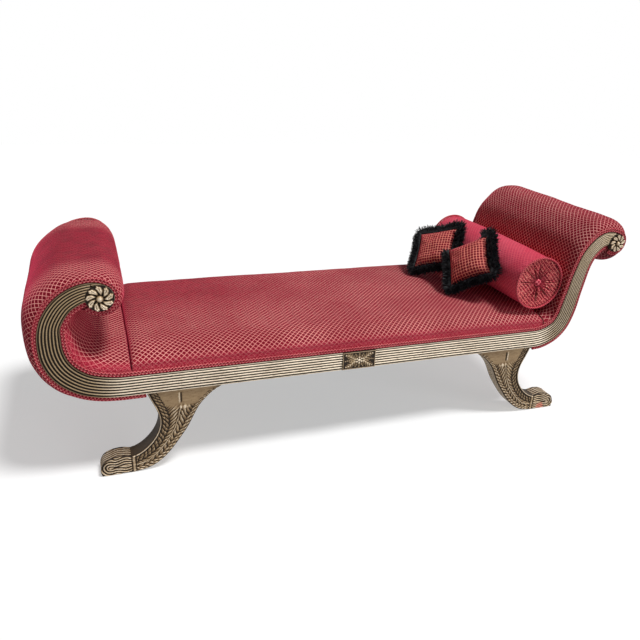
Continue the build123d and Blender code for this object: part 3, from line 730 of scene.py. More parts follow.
def seat_cover():
    """The seat's cover as one closed skin."""
    near = np.linspace(0, 1, 10)
    left_x = SEAT_LEFT_X + SEAT_TURN * near
    right_x = SEAT_RIGHT_X - SEAT_TURN * near[::-1]
    stations = np.concatenate([left_x, np.linspace(left_x[-1], right_x[0], 170)[1:-1], right_x])
    verts, uvs = [], []
    count = len(seat_line(0))
    for x in stations:
        reach = min(x - SEAT_LEFT_X, SEAT_RIGHT_X - x) / SEAT_TURN
        dip = SEAT_DIP * (1 - sqrt(max(0.0, 1 - (1 - min(1, reach)) ** 2)))
        line = seat_line(dip)
        lengths = run_along(line)
        for index, (y, z) in enumerate(line):
            free = min(1.0, max(0.0, (z - SEAM_Z) / 0.03))
            soft = ripple(x * 4, y * 6, 1.7) * 0.0030 * free
            soft += ripple(x * 16, y * 16, 5.1) * 0.0009 * free
            verts.append((x, y, z + soft - 0.003 * free))
            uvs.append((x + 0.003, lengths[index] - 0.02))
    faces = grid_faces(len(stations), count, closed=True) + end_faces(len(stations), count)
    return mesh_object("seat_cover", verts, faces, uvs)


seat = seat_cover()
spots = np.array([v.co[:] for v in seat.data.vertices])
border = 0.9 * (1 - ease(spots[:, 2], 0.386, 0.414))
rubbed = (1 - ease(spots[:, 0], -0.55, 0.10)) * ease(spots[:, 1], -0.20, 0.16) * 0.85
# Painted shade in the creases where the seat meets the arms.
crease_shade = 1 - ease(np.minimum(spots[:, 0] - SEAT_LEFT_X, SEAT_RIGHT_X - spots[:, 0]), 0.0, 0.006)
keep_cloth(seat, plain=border, worn=rubbed, painted_shade=crease_shade * 0.8)
outward(seat, 60)
seat.data.materials.append(seat_cloth)
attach(seat, BODY)
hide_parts("seat_pad")

# ---------------------------------------------------------------------------
# Double welts: two fabric-covered cords side by side. They hide the tacks where
# the cover meets the gilt bands, round both curls and along the straight rails.
# ---------------------------------------------------------------------------

WELT_R = 0.0037
WELT_RIB = 0.0096
WELT_STEPS = (0.0041, 0.0117)          # how far the two cords' middles lie from the gilt edge
WELT_Y = 0.3537
LEFT_ROSETTE = (*LEFT_CURL, 41.0)      # x, z and radius of a rosette, in millimetres
RIGHT_ROSETTE = (1022.5, 698.0, 34.0)

welt_cloth = lattice_fabric("welt_cloth", cell=0.0078, ground=(0.48, 0.018, 0.048),
                            ground_lit=(0.74, 0.060, 0.100), dark=(0.16, 0.002, 0.010), line=0.80)


def shifted(faces, base):
    """The same faces on vertices that come base places later."""
    return [tuple(base + index for index in face) for face in faces]


def cord_mesh(lines, sides=10):
    """Vertices, faces and UVs of ribbed round cords.

    lines holds each cord's x, y, z points and how far along the cloth its pattern starts.
    """
    verts, faces, uvs = [], [], []
    for line, start in lines:
        line = np.array(line)
        count = len(line)
        way = np.gradient(line, axis=0)
        way /= np.linalg.norm(way, axis=1)[:, None]
        base = len(verts)
        run = np.concatenate([[0], np.cumsum(np.linalg.norm(np.diff(line, axis=0), axis=1))]) + start
        for index in range(count):
            out = Vector((0, -1 if line[index][1] < 0 else 1, 0))
            side = Vector(way[index]).cross(out).normalized()
            tie = 1 + 0.03 * cos(run[index] * 2 * pi / WELT_RIB)
            for turn in range(sides):
                angle = 2 * pi * turn / sides
                place = Vector(line[index]) + (side * cos(angle) + out * sin(angle)) * WELT_R * tie
                verts.append(place)
                uvs.append((run[index], WELT_R * angle))
        faces += shifted(grid_faces(count, sides, closed=True) + end_faces(count, sides), base)
    return verts, faces, uvs


def welts(name, node, lines, y_sign):
    """One welt piece from lines of x and z points."""
    cords = []
    for number, line in enumerate(lines):
        fine = resample(line, max(8, int(len(line) * 1.6)))
        cords.append(([(x, y_sign * WELT_Y, z) for x, z in fine], 0.003 * number))
    piece = mesh_object(name, *cord_mesh(cords))
    outward(piece, 80)
    piece.data.materials.append(welt_cloth)
    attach(piece, BODY)
    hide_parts(node)


def band_lines(stations, side):
    """The two cords along one edge of a band, 1 on the left of its heading and -1 on the right."""
    return [flow(stations, [side * (width / 2 + step * 1000) for *_, width in stations])
            for step in WELT_STEPS]


def curl_lines(rosette, start, sweep):
    """The two cords round the free side of a rosette."""
    x, z, radius = rosette
    return [arc_points((x, z), radius + step * 1000, start, start + sweep, CURL_STEPS)
            for step in WELT_STEPS]


RAIL_TOP = 0.360
RAIL_FROM_X = -728.5       # where the rail's welts meet the scrolls', in millimetres
RAIL_TO_X = 714.5

# The rosettes as the last station of each scroll.
LEFT_ROUND = (LEFT_ROSETTE[0], LEFT_ROSETTE[1], -40, 2 * LEFT_ROSETTE[2])
RIGHT_ROUND = (RIGHT_ROSETTE[0], RIGHT_ROSETTE[1], -30, 2 * RIGHT_ROSETTE[2])

LEFT_WELTS = (band_lines([(RAIL_FROM_X, 327, 180, 66)] + LEFT_SCROLL[1:], -1)
              + band_lines(LEFT_SCROLL + [LEFT_ROUND], 1) + curl_lines(LEFT_ROSETTE, -145, 195))
RIGHT_WELTS = (band_lines([(RAIL_TO_X, 327, 0, 66)] + RIGHT_SCROLL[1:] + [RIGHT_ROUND], 1)
               + band_lines([(727, 327.2, 1.93, 66)] + RIGHT_SCROLL[1:], -1)
               + curl_lines(RIGHT_ROSETTE, -135, 195))
along_rail = np.linspace(RAIL_FROM_X, RAIL_TO_X, 300) / 1000
SEAT_WELTS = [np.stack([along_rail, np.full(300, RAIL_TOP + step)], 1) for step in WELT_STEPS]

for place, y_sign in (("front", -1), ("back", 1)):
    welts(f"left_arm_welts_{place}", f"left_welts_{place}", LEFT_WELTS, y_sign)
    welts(f"right_arm_welts_{place}", f"right_welts_{place}", RIGHT_WELTS, y_sign)
    welts(f"rail_welts_{place}", f"seat_welt_{place}", SEAT_WELTS, y_sign)

# ---------------------------------------------------------------------------
# Rosettes: flowers carved in wood, gilt and glued over the middle of each curl. Each
# has a ball in a ring of nine twisted, lobed petals on a sunk ground. The left
# scroll's reeds run on over the rim of its flower.
# ---------------------------------------------------------------------------

ROSETTE_SEAT_Y = 0.3597
ROSETTE_BALL = 0.27        # the ball's radius as a share of the rosette's
BALL_FOOT = 0.0028
BALL_RISE = 0.0112
PETALS = 9
PETAL_RISE = 0.0090
TAIL_REEDS = 2             # how many reeds run on over the left flower's rim
TAIL_FLOOR_Y = 0.3560
TAIL_RISE = 0.0038

# Carving is a fine grid whose height is worked out from the ornament. The height is kept on the
# mesh for the gilding.


def bump_round(value):
    """A rounded hump: 1 in the middle, 0 at plus or minus 1."""
    return np.sqrt(np.clip(1 - value ** 2, 0, 1))


def keep_relief(piece, relief):
    """Keep each point's height, 0 in the hollows and 1 on the crests."""
    layer = piece.data.attributes.new("relief", "FLOAT", "POINT")
    layer.data.foreach_set("value", np.clip(relief, 0, 1).astype(np.float32))


def grid_rim(rows, columns):
    """The points round the edge of a grid, in turn."""
    return [*range(columns), *range(2 * columns - 1, rows * columns, columns),
            *range(rows * columns - 2, (rows - 1) * columns - 1, -1),
            *range((rows - 2) * columns, 0, -columns)]


def slab(points, columns, back_y):
    """A carved grid of points closed down to a flat back, as vertices and faces."""
    rows = len(points) // columns
    ring = grid_rim(rows, columns)
    foot = points[ring].copy()
    foot[:, 1] = back_y
    base = len(points)
    faces = grid_faces(rows, columns)
    for index, corner in enumerate(ring):
        after = (index + 1) % len(ring)
        faces.append((corner, ring[after], base + after, base + index))
    faces.append(tuple(range(base, base + len(ring))))
    return np.concatenate([points, foot]), faces


def gild(piece, node):
    """Finish one carved piece and let it stand for its node."""
    outward(piece, 65)
    piece.data.materials.append(carved_gilt)
    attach(piece, BODY)
    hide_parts(node)


def carve_rosette(name, node, rosette, y_sign, tail=None):
    """One rosette. tail is the outer edge of the reeds that run on over its rim, if they do."""
    x0, z0, radius = (value / 1000 for value in rosette)
    rings = 56
    spokes = 216
    r = np.linspace(0.02, 1, rings)[:, None] * np.ones((1, spokes))
    angle = np.linspace(0, 2 * pi, spokes, endpoint=False)[None, :] * np.ones((rings, 1))
    petal = np.zeros_like(r)
    for index in range(PETALS):
        turn = angle - 2 * pi * index / PETALS - 0.65 * (r - 0.5)
        u = r * np.cos(turn)
        v = r * np.sin(turn)
        body = bump_round(np.hypot((u - 0.60) / 0.36, v / (0.12 + 0.15 * ease(u, 0.35, 0.72))))
        body *= 1 - 0.35 * np.exp(-(v / 0.022) ** 2) * ease(u, 0.46, 0.62) * (1 - ease(u, 0.74, 0.84))
        for side, reach in ((0.115, 0.78), (-0.105, 0.81), (0.01, 0.88)):
            knob = bump_round(np.hypot((u - reach) / 0.125, (v - side) / 0.115))
            body = np.maximum(body, knob * 1.02)
        petal = np.maximum(petal, body * (u > 0))
    height = np.clip(petal, 0, 1) * PETAL_RISE
    dome = bump_round(r / ROSETTE_BALL)
    height = np.where(r < ROSETTE_BALL, BALL_FOOT + BALL_RISE * dome, height)
    relief = np.where(r < ROSETTE_BALL, 0.20 + 0.65 * dome, np.clip(petal, 0, 1) ** 1.6 * 0.86 + 0.08)
    rim = ease(r, 0.965, 0.985)
    height = height * (1 - rim) + 0.0012 * rim
    xs = x0 + radius * r * np.cos(angle)
    zs = z0 + radius * r * np.sin(angle)
    ys = -(ROSETTE_SEAT_Y + 0.0006 + height)
    verts = np.stack([xs, ys, zs], -1).reshape(-1, 3)
    foot = np.stack([xs[-1], np.full(spokes, -ROSETTE_SEAT_Y), zs[-1]], -1)
    verts = np.concatenate([verts, foot])
    faces = grid_faces(rings + 1, spokes, closed=True) + end_faces(rings + 1, spokes)
    kept = np.concatenate([relief.reshape(-1), np.zeros(spokes)])
    if tail is not None:
        columns = 25
        t = np.linspace(0, 1, columns)
        inward = tail - (x0, z0)
        inward *= 0.94 * radius / np.hypot(*inward.T)[:, None]
        strip = (x0, z0) + inward[:, None] * (1 - t)[:, None] + (tail - (x0, z0))[:, None] * t[:, None]
        ridge = np.abs(np.cos(pi * (1 - t) * TAIL_REEDS)) * np.ones((len(tail), 1))
        ys = -(TAIL_FLOOR_Y + TAIL_RISE * ridge)
        points = np.stack([strip[..., 0], ys, strip[..., 1]], -1).reshape(-1, 3)
        more, more_faces = slab(points, columns, -0.3552)
        faces += shifted(more_faces, len(verts))
        verts = np.concatenate([verts, more])
        kept = np.concatenate([kept, ridge.reshape(-1) * 0.72, np.zeros(len(more) - ridge.size)])
    verts[:, 1] *= -y_sign
    piece = mesh_object(name, verts, faces)
    keep_relief(piece, kept)
    gild(piece, node)


# The outer edge of the left scroll's reeds, from its last station to the rosette's side.
reed_end = flow([LEFT_SCROLL[-1], LEFT_ROUND], [27, LEFT_ROSETTE[2] + 0.5], gap=1.5)
turned = np.degrees(np.arctan2(reed_end[:, 1] - LEFT_ROSETTE[1] / 1000,
                               reed_end[:, 0] - LEFT_ROSETTE[0] / 1000))
reed_end = np.concatenate([[reed_end[0] - (0.0004, 0)], reed_end[turned > 58]])
for place, y_sign in (("front", -1), ("back", 1)):
    carve_rosette(f"left_flower_{place}", f"left_rosette_{place}", LEFT_ROSETTE, y_sign, reed_end)
    carve_rosette(f"right_flower_{place}", f"right_rosette_{place}", RIGHT_ROSETTE, y_sign)

# ---------------------------------------------------------------------------
# Tablets: a carved and gilt wooden block planted on the middle of each long rail. It
# is a framed, sunk panel with four leaves that spring from a small flower.
# ---------------------------------------------------------------------------

TABLET_X = -0.0115
TABLET_Z = 0.327
TABLET_HALF = (62, 33)     # half its length and height, in millimetres
TABLET_FRAME = 3.6         # width of its frame, in millimetres
TABLET_FACE_Y = 0.3655
TABLET_SUNK = 0.0045


def cycle(value):
    """The place of a value in its repeat, from -0.5 to 0.5."""
    return value - np.floor(value) - 0.5


def leaf_height(along, across, long, wide, lobe):
    """A lobed leaf with a midrib: its height, 0 outside, for places along and across it."""
    t = np.clip(along / long, 0, 1)
    width = wide * np.sin(np.clip(t * 0.94 + 0.06, 0, 1) * pi) ** 0.55
    width = width * (1 + 0.20 * np.cos(2 * pi * along / lobe)) + 1e-6
    inside = (np.abs(across) < width) * (along > 0) * (along < long)
    body = bump_round(across / width)
    vein = 0.5 + 0.5 * np.cos(2 * pi * (along - np.abs(across) * 0.9) / lobe)
    rib = np.exp(-(across / (wide * 0.11)) ** 2)
    return inside * (0.42 * body + 0.34 * vein * body + 0.30 * rib * (1 - t * 0.6))


def carve_tablet(name, node, y_sign):
    """One tablet: four long leaves, eight short ones and the flower, in their frame."""
    columns, rows = 188, 100
    half_x, half_z = TABLET_HALF
    x, z = np.meshgrid(np.linspace(-half_x, half_x, columns), np.linspace(-half_z, half_z, rows))
    height = np.zeros_like(x)
    for corner, bend in ((24, 2.6), (156, -2.6), (204, 2.6), (336, -2.6),
                         (90, 0), (270, 0), (58, 0), (122, 0), (238, 0), (302, 0)):
        turn = radians(corner)
        along = x * cos(turn) + z * sin(turn) - 6
        across = -x * sin(turn) + z * cos(turn)
        if bend:
            leaf = leaf_height(along, across + bend * np.sin(along / 8), 52, 17.0, 9.5)
        else:
            leaf = leaf_height(along, across, 26, 9.0, 6.5) * 0.85
        height = np.maximum(height, leaf)
    for side in (-1, 1):
        along = side * x - 14
        height = np.maximum(height, leaf_height(along, z + 1.5 * np.sin(along / 6), 44, 9.5, 7.5) * 0.85)
    r = np.hypot(x, z)
    petal = bump_round(cycle(np.arctan2(z, x) * 6 / (2 * pi)) * 2 / 0.86)
    petal *= bump_round((r - 10.2) / 4.6)
    height = np.where(r < 14.4, petal * 1.05, height)
    height = np.where(r < 6.2, 0.25 + 1.0 * bump_round(r / 6.2), height)
    edge = np.minimum(half_x - np.abs(x), half_z - np.abs(z))
    frame_line = bump_round((edge - TABLET_FRAME / 2) / 1.9)
    height = np.where(edge < TABLET_FRAME, frame_line * 0.72, np.maximum(height, 0.12))
    depth = TABLET_SUNK * (1 - np.clip(height, 0, 1.25) / 1.25)
    ys = -(TABLET_FACE_Y - depth)
    verts = np.stack([TABLET_X + x / 1000, ys, TABLET_Z + z / 1000], -1).reshape(-1, 3)
    verts, faces = slab(verts, columns, -0.3556)
    verts[:, 1] *= -y_sign
    piece = mesh_object(name, verts, faces)
    back = np.full(len(verts) - height.size, 0.4)
    keep_relief(piece, np.concatenate([height.reshape(-1) * 1.30 - 0.22, back]))
    gild(piece, node)


for place, y_sign in (("front", -1), ("back", 1)):
    carve_tablet(f"carved_tablet_{place}", f"tablet_{place}", y_sign)

# ---------------------------------------------------------------------------
# Sabre legs: sawn from thick wood, carved on both faces, gilt and dowelled up into
# their blocks. Each has a plain field under the rail, foliage either side of a
# midrib, scales down the heel, a moulding at the ankle and a curled toe.
# ---------------------------------------------------------------------------

LEFT_LEG_X = -0.6375
RIGHT_LEG_X = 0.6225
LEG_NEAR_Y = 0.3550
LEG_THICK = 0.0660
LEG_SUNK = 0.0060

# A leg's sides in millimetres, as x from its middle and z. It curves towards plus x.
ANKLE_X = 155.5
ANKLE_TOP_Z = 72
TOE_CURL_X = 232
TOE_GROOVE = 9.4           # from one groove of the toe to the next
SCALE_LONG = 18.0
SCALES_WIDE = 22           # the lane of scales, in from the heel side
FROND_LONG = 15.0
FILLET_WIDE = 6.5          # the plain moulding down the hollow side
FRONDS_END = 31.5          # the lane of fronds inside it, in from the hollow side
FEATHER_LONG = 15.5
LANES_WIDE = 51            # what both lanes take off the leaf between them
FIELD_LOW_Z = 240          # where the plain field under the rail begins
HEEL = [(-160, 294), (-76, 236), (-18, 135), (56, 40), (130, 3)]
HOLLOW = [(102, 294), (65, 190), (91, 112), (163, 63)]
TOE_TOP = [(163, 63), (190, 68), (222, 65), (250, 50), (262, 22), (259, 4)]
TOE_SOLE = [(130, 3), (150, 0), (185, 0), (215, 0), (240, 0), (256, 0)]


def spline(points, first, last, count):
    """Evenly spaced points of a smooth line through points, with its end directions."""
    points = np.array(points, dtype=float)
    ways = np.zeros_like(points)
    ways[1:-1] = (points[2:] - points[:-2]) / 2
    ways[0] = np.array(first) * np.linalg.norm(points[1] - points[0]) / np.linalg.norm(first)
    ways[-1] = np.array(last) * np.linalg.norm(points[-1] - points[-2]) / np.linalg.norm(last)
    line = []
    t = np.linspace(0, 1, 40, endpoint=False)[:, None]
    for index in range(len(points) - 1):
        line.append((2 * t ** 3 - 3 * t ** 2 + 1) * points[index] + (t ** 3 - 2 * t ** 2 + t) * ways[index]
                    + (3 * t ** 2 - 2 * t ** 3) * points[index + 1] + (t ** 3 - t ** 2) * ways[index + 1])
    line.append(points[-1:])
    return resample(np.concatenate(line), count)


def sway(x, z, seed):
    """A slow wander of a few millimetres, so that no two leaves are alike."""
    return (np.sin(x / 7.3 + z / 11.1 + seed) + 0.8 * np.sin(z / 5.9 - x / 13.7 + 2.1 * seed)
            + 0.6 * np.sin(x / 4.1 + z / 4.7 + 3.7 * seed))


def leaf_row(place, lane):
    """Overlapping leaves along a lane: a sharp lifted tip, a slope behind it, a dark gap."""
    t = place - np.floor(place)
    vein = 1 - 0.40 * np.exp(-(lane / 0.16) ** 2) * (t > 0.12)
    gap = np.exp(-(t / 0.09) ** 2) + np.exp(-((1 - t) / 0.07) ** 2)
    return bump_round(lane) * (0.50 + 0.50 * t) * vein * np.clip(1 - gap, 0, 1)


def leg_relief(x, z, share, heel_run, hollow_run, width):
    """Height of the carving above the ankle, from 0 to 1, over the leg's face."""
    from_heel = share * width + 0.7 * sway(x, z, 1.0)
    from_hollow = (1 - share) * width
    heel_way = heel_run + 1.2 * sway(x, z, 2.0)
    hollow_way = hollow_run + 1.3 * sway(x, z, 3.0)
    height = np.full_like(x, 0.08)

    # Scales down the heel.
    scales = leaf_row(-heel_way / SCALE_LONG + from_heel / SCALE_LONG, (from_heel - SCALES_WIDE / 2) / 11.5)
    height = np.where(from_heel < SCALES_WIDE, np.maximum(height, scales), height)

    # Fronds with fine veins down the hollow side.
    lane_middle = (FRONDS_END + FILLET_WIDE) / 2
    lane_half = (FRONDS_END - FILLET_WIDE) / 2
    fronds = leaf_row(-hollow_way / FROND_LONG + from_hollow / 17, (from_hollow - lane_middle) / lane_half)
    fronds *= 0.82 + 0.18 * np.cos(2 * pi * (hollow_way / 4.3 - from_hollow / 6))
    in_lane = (from_hollow > FILLET_WIDE) & (from_hollow < FRONDS_END)
    height = np.where(in_lane, np.maximum(height, fronds), height)

    # A feathered leaf either side of a midrib between the two lanes, up to the plain field.
    room = np.maximum(width - LANES_WIDE, 6)
    rest = np.clip((from_heel - 20.5) / room, 0, 1)
    aside = np.abs(rest - 0.5) * room
    rib = np.exp(-(aside / 2.8) ** 2)
    feather = leaf_row(-hollow_way / FEATHER_LONG + aside / 12, (rest - 0.5) * 1.7) * 0.95
    below = ease(z + 2 * sway(x, z, 4.0), FIELD_LOW_Z, FIELD_LOW_Z - 20)
    inner = (from_heel > 20.5) & (from_hollow > 31)
    leafy = np.maximum(feather * (1 - rib * 0.9), rib * 0.85)
    height = np.where(inner, leafy * below + 0.60 * (1 - below), height)

    # A crest of small curls at the head of the midrib, and one upright cut above it.
    crest = np.exp(-((x + 18 - (262 - z) * 0.10) / 30) ** 2 - ((z - 226) / 10) ** 2)
    curl = 0.5 + 0.5 * np.cos(2 * pi * (x + 18) / 14)
    height = np.where(inner, np.maximum(height, crest * (0.40 + 0.60 * curl) * 1.1), height)
    cut_long = ease(z, FIELD_LOW_Z, FIELD_LOW_Z + 8) * (1 - ease(z, 276, 284))
    cut = np.exp(-((x + 6) / 2.2) ** 2) * cut_long
    cut_side = np.exp(-((x + 1.5) / 2.0) ** 2) * cut_long
    height = np.where(inner, height - cut * 0.50 + cut_side * 0.45, height)
    fillet = bump_round((from_hollow - 2.4) / 2.6)
    return np.where(from_hollow < FILLET_WIDE, 0.05 + 0.95 * fillet, height)


def toe_relief(x, z):
    """Height of the toe's flowing grooves, which curl round a small eye."""
    reach = np.where(x < TOE_CURL_X, np.abs(z - 29), np.hypot(x - TOE_CURL_X, z - 29))
    reach = reach + 3.4 * np.sin(x / 10.5) * (1 - ease(x, 212, TOE_CURL_X)) + 0.5 * sway(x, z, 5.0)
    grooves = 0.5 + 0.5 * np.cos(2 * pi * reach / TOE_GROOVE)
    eye = bump_round(np.hypot(x - TOE_CURL_X, z - 27) / 6.5)
    return np.maximum(0.04 + 0.78 * grooves ** 0.8, eye * 0.8)


def carve_leg(name, node, leg_x, toe_way, y_sign):
    """One leg, as rings from the rail down to the toe: front face, hollow, back face and heel."""
    body_rows, toe_rows, face_columns, side_columns = 150, 64, 72, 18
    heel = spline(HEEL, (1, -0.22), (1, -0.12), body_rows)
    hollow = spline(HOLLOW, (-0.35, -1), (1, -0.1), body_rows)
    sole = spline(TOE_SOLE, (1, -0.1), (1, 0), toe_rows + 1)[1:]
    top = spline(TOE_TOP, (1, 0.05), (-0.1, -1), toe_rows + 1)[1:]
    low = np.concatenate([heel, sole])
    high = np.concatenate([hollow, top])
    rows = len(low)
    row_number = np.arange(rows)[:, None]
    heel_run = run_along(low)[:, None]
    hollow_run = run_along(high)[:, None]
    share = np.linspace(0, 1, face_columns)[None, :]
    x = low[:, :1] * (1 - share) + high[:, :1] * share
    z = low[:, 1:] * (1 - share) + high[:, 1:] * share
    width = np.hypot(high[:, 0] - low[:, 0], high[:, 1] - low[:, 1])[:, None] * np.ones_like(share)
    share = share * np.ones_like(x)
    body = leg_relief(x, z, share, heel_run * np.ones_like(x), hollow_run * np.ones_like(x), width)
    is_toe = ease(x, ANKLE_X + 3, ANKLE_X + 5) * (z < ANKLE_TOP_Z)
    is_toe = np.where(row_number < body_rows - 12, 0, is_toe)
    height = body * (1 - is_toe) + toe_relief(x, z) * is_toe
    near_ankle = (z < ANKLE_TOP_Z) * (row_number > body_rows - 30)
    ankle = bump_round((x - ANKLE_X) / 5.2) * near_ankle
    moat = np.exp(-((np.abs(x - ANKLE_X) - 6.6) / 1.3) ** 2) * near_ankle
    height = np.maximum(height * (1 - 0.85 * moat), ankle * 0.72)
    edge = np.minimum(share, 1 - share) * width
    soften = ease(edge, -0.5, 3.2)
    depth = LEG_SUNK * (1 - np.clip(height, 0, 1) * soften)
    side = np.linspace(0, 1, side_columns + 2)[1:-1]
    up = np.stack([high[:, 0] - low[:, 0], high[:, 1] - low[:, 1]], 1)
    up /= np.maximum(np.linalg.norm(up, axis=1), 1e-6)[:, None]
    front_ys = -LEG_NEAR_Y * 1000 + depth * 1000
    back_ys = (LEG_THICK - LEG_NEAR_Y) * 1000 - depth * 1000
    face_kept = height * (0.25 + 0.75 * soften)
    rings, kept = [], []
    for row in range(rows):
        front = list(zip(x[row], front_ys[row], z[row]))
        back = list(zip(x[row], back_ys[row], z[row]))
        run = heel_run[row, 0]
        heel_side, heel_kept, hollow_side, hollow_kept = [], [], [], []
        for t in side:
            y0 = front[0][1] + (back[0][1] - front[0][1]) * t
            ridge = cycle(run / 7.5 + 1.4 * abs(t - 0.5)) * 2
            swell = (1.5 * bump_round(ridge / 0.96) - 1.1) * min(1, 6 * t, 6 * (1 - t)) * (z[row, 0] > 2)
            heel_side.append((x[row, 0] - up[row, 0] * swell, y0, z[row, 0] - up[row, 1] * swell))
            heel_kept.append(0.10 + 0.8 * bump_round(ridge / 0.96))
            groove = 0.5 + 0.5 * cos(2 * pi * (5 * t + 0.25 * sin(hollow_run[row, 0] / 9)))
            sunk = 2.0 * (1 - groove) * min(1, 8 * t, 8 * (1 - t)) * min(1, max(0, row - body_rows) / 6)
            hollow_side.append((x[row, -1] - up[row, 0] * sunk, y0, z[row, -1] - up[row, 1] * sunk))
            hollow_kept.append(0.38 if row < body_rows else 0.15 + 0.75 * groove)
        rings.append(front + hollow_side + back[::-1] + heel_side[::-1])
        kept.append([*face_kept[row], *hollow_kept, *face_kept[row][::-1], *heel_kept[::-1]])
    verts = np.array(rings).reshape(-1, 3) / 1000
    verts[:, 0] = leg_x + toe_way * verts[:, 0]
    verts[:, 1] *= -y_sign
    verts[:, 2] = np.maximum(verts[:, 2], 0)
    around = len(rings[0])
    faces = grid_faces(rows, around, closed=True) + end_faces(rows, around)
    piece = mesh_object(name, verts, faces)
    keep_relief(piece, np.array(kept).reshape(-1))
    gild(piece, node)


for place, y_sign in (("front", -1), ("back", 1)):
    carve_leg(f"left_sabre_leg_{place}", f"left_leg_{place}", LEFT_LEG_X, -1, y_sign)
    carve_leg(f"right_sabre_leg_{place}", f"right_leg_{place}", RIGHT_LEG_X, 1, y_sign)

# ---------------------------------------------------------------------------
# Bolster: a round cushion in the same cloth, with corded ends whose cover is
# gathered into pleats under a covered button.
# ---------------------------------------------------------------------------

BOLSTER_X = 0.7260
BOLSTER_Z = 0.5456
BOLSTER_R = 0.1035
BOLSTER_END_R = 0.0985
BOLSTER_ENDS = (-0.325, 0.330)
BOLSTER_DISH = 0.0085
END_CLOTH_R = 0.096        # inside this the cover is the gathered end
END_RINGS = 26
SIDE_RINGS = 90
BOLSTER_CELL = 0.0118
PLEAT_PAIRS = 7
PLEAT_DEPTH = 0.0080
BOLSTER_CORD_R = 0.0995
BOLSTER_CORD_OUT = 0.0035  # how far beyond the ends the cords lie
BUTTON_R = 0.0145
BUTTON_IN = 0.0088         # how far inside the ends the buttons are pulled

bolster_cloth = lattice_fabric("bolster_cloth", BOLSTER_CELL, ground=(0.80, 0.030, 0.085),
                               ground_lit=(0.98, 0.105, 0.185), pale=(0.96, 0.42, 0.40), speck=0.22)
bolster_end_cloth = lattice_fabric("bolster_end_cloth", BOLSTER_CELL, ground=(0.66, 0.030, 0.062),
                                   ground_lit=(0.86, 0.080, 0.130), pale=(0.98, 0.52, 0.38),
                                   dark=(0.060, 0.0006, 0.004))
piping_cloth = lattice_fabric("piping_cloth", cell=0.0068, ground=(0.80, 0.060, 0.100),
                              ground_lit=(0.95, 0.160, 0.200), line=0.25)


def bolster_cover():
    """The whole cover, from one button across the side to the other."""
    spokes = 180
    angle = np.linspace(0, 2 * pi, spokes, endpoint=False)
    middle = (BOLSTER_ENDS[0] + BOLSTER_ENDS[1]) / 2
    half = (BOLSTER_ENDS[1] - BOLSTER_ENDS[0]) / 2
    verts, uvs, plain, painted_shade = [], [], [], []
    pleats = [ripple(3 * cos(a), 3 * sin(a), 4.0) for a in angle]

    def end_ring(y_end, way, share):
        """A ring of the gathered end; share runs from 0 at the button to 1 at the cord."""
        for index, a in enumerate(angle):
            crest = abs(cos(PLEAT_PAIRS * a + 4.2 * pleats[index]))
            fold = 2 * crest ** 0.7 - 1.3
            fold *= PLEAT_DEPTH * sin(pi * min(1, share * 1.05 + 0.05)) ** 0.6 * (1 - 0.85 * share)
            dish = BOLSTER_DISH * (1 - share ** 2.2)
            radius = BOLSTER_END_R * share
            verts.append((BOLSTER_X + radius * cos(a), y_end - way * dish + way * fold * 0.9,
                          BOLSTER_Z + radius * sin(a)))
            wander = ripple(9 * share * cos(a), 9 * share * sin(a), 2.0) * 0.012
            uvs.append((radius * cos(a) * 1.1 + wander, radius * sin(a) * 1.1 - wander))
            # Painted shade: dark lines down the pleat valleys, a shadow over the inner dish that is deeper
            # on its upper half, a dark ring round the button and a dark line inside the cord.
            line = max(0.0, 1 - crest / (0.95 - 0.35 * share))
            reach = 0.70 + 0.45 * ripple(2 * cos(a), 2 * sin(a), 9.0) + 0.22 * ease(-sin(a), 0.0, 0.8)
            pleat_shade = line * (1 - ease(share, reach * 0.6, reach + 0.15))
            shade = (1 - ease(share, 0.16, 0.62)) * (0.45 + 0.35 * sin(a))
            rim = 0.75 * ease(share, 0.93, 0.97)
            painted_shade.append(max(pleat_shade, shade, rim, 1 - ease(share, 0.14, 0.22)))
            plain.append(0.7 - 0.7 * ease(share, 0.20, 0.42))

    for share in np.linspace(0.06, 0.985, END_RINGS):
        end_ring(BOLSTER_ENDS[0], -1, share)
    for place in np.linspace(-1, 1, SIDE_RINGS):
        y = middle + half * place
        swell = 1 - abs(place) ** 2.6
        tuck = 0.0035 * (1 - ease(1 - abs(place), 0, 0.03))
        for index, a in enumerate(angle):
            soft = ripple(cos(a) * 1.3, sin(a) * 1.3, y * 5) * 0.0018
            soft += ripple(cos(a) * 4, sin(a) * 4, y * 16) * 0.0007
            pull = 0.0010 * cos(19 * a + 5 * pleats[index]) * ease(abs(place), 0.90, 1.0)
            radius = BOLSTER_END_R + (BOLSTER_R - BOLSTER_END_R) * swell + soft * swell - tuck * 0.5 + pull
            verts.append((BOLSTER_X + radius * cos(a), y, BOLSTER_Z + radius * sin(a)))
            uvs.append((a * BOLSTER_R, y))
            plain.append(0.80)
            painted_shade.append(0.0)
    for share in np.linspace(0.985, 0.06, END_RINGS):
        end_ring(BOLSTER_ENDS[1], 1, share)
    rows = END_RINGS + SIDE_RINGS + END_RINGS
    faces = grid_faces(rows, spokes, closed=True) + end_faces(rows, spokes)
    piece = mesh_object("bolster_cover", verts, faces, uvs)
    keep_cloth(piece, plain=plain, painted_shade=painted_shade)
    return piece


cover = bolster_cover()
outward(cover, 70)
cover.data.materials.append(bolster_cloth)
cover.data.materials.append(bolster_end_cloth)
for face in cover.data.polygons:
    from_middle = hypot(face.center.x - BOLSTER_X, face.center.z - BOLSTER_Z)
    if from_middle < END_CLOTH_R or not BOLSTER_ENDS[0] < face.center.y < BOLSTER_ENDS[1]:
        face.material_index = 1
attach(cover, "bolster")
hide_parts("bolster")

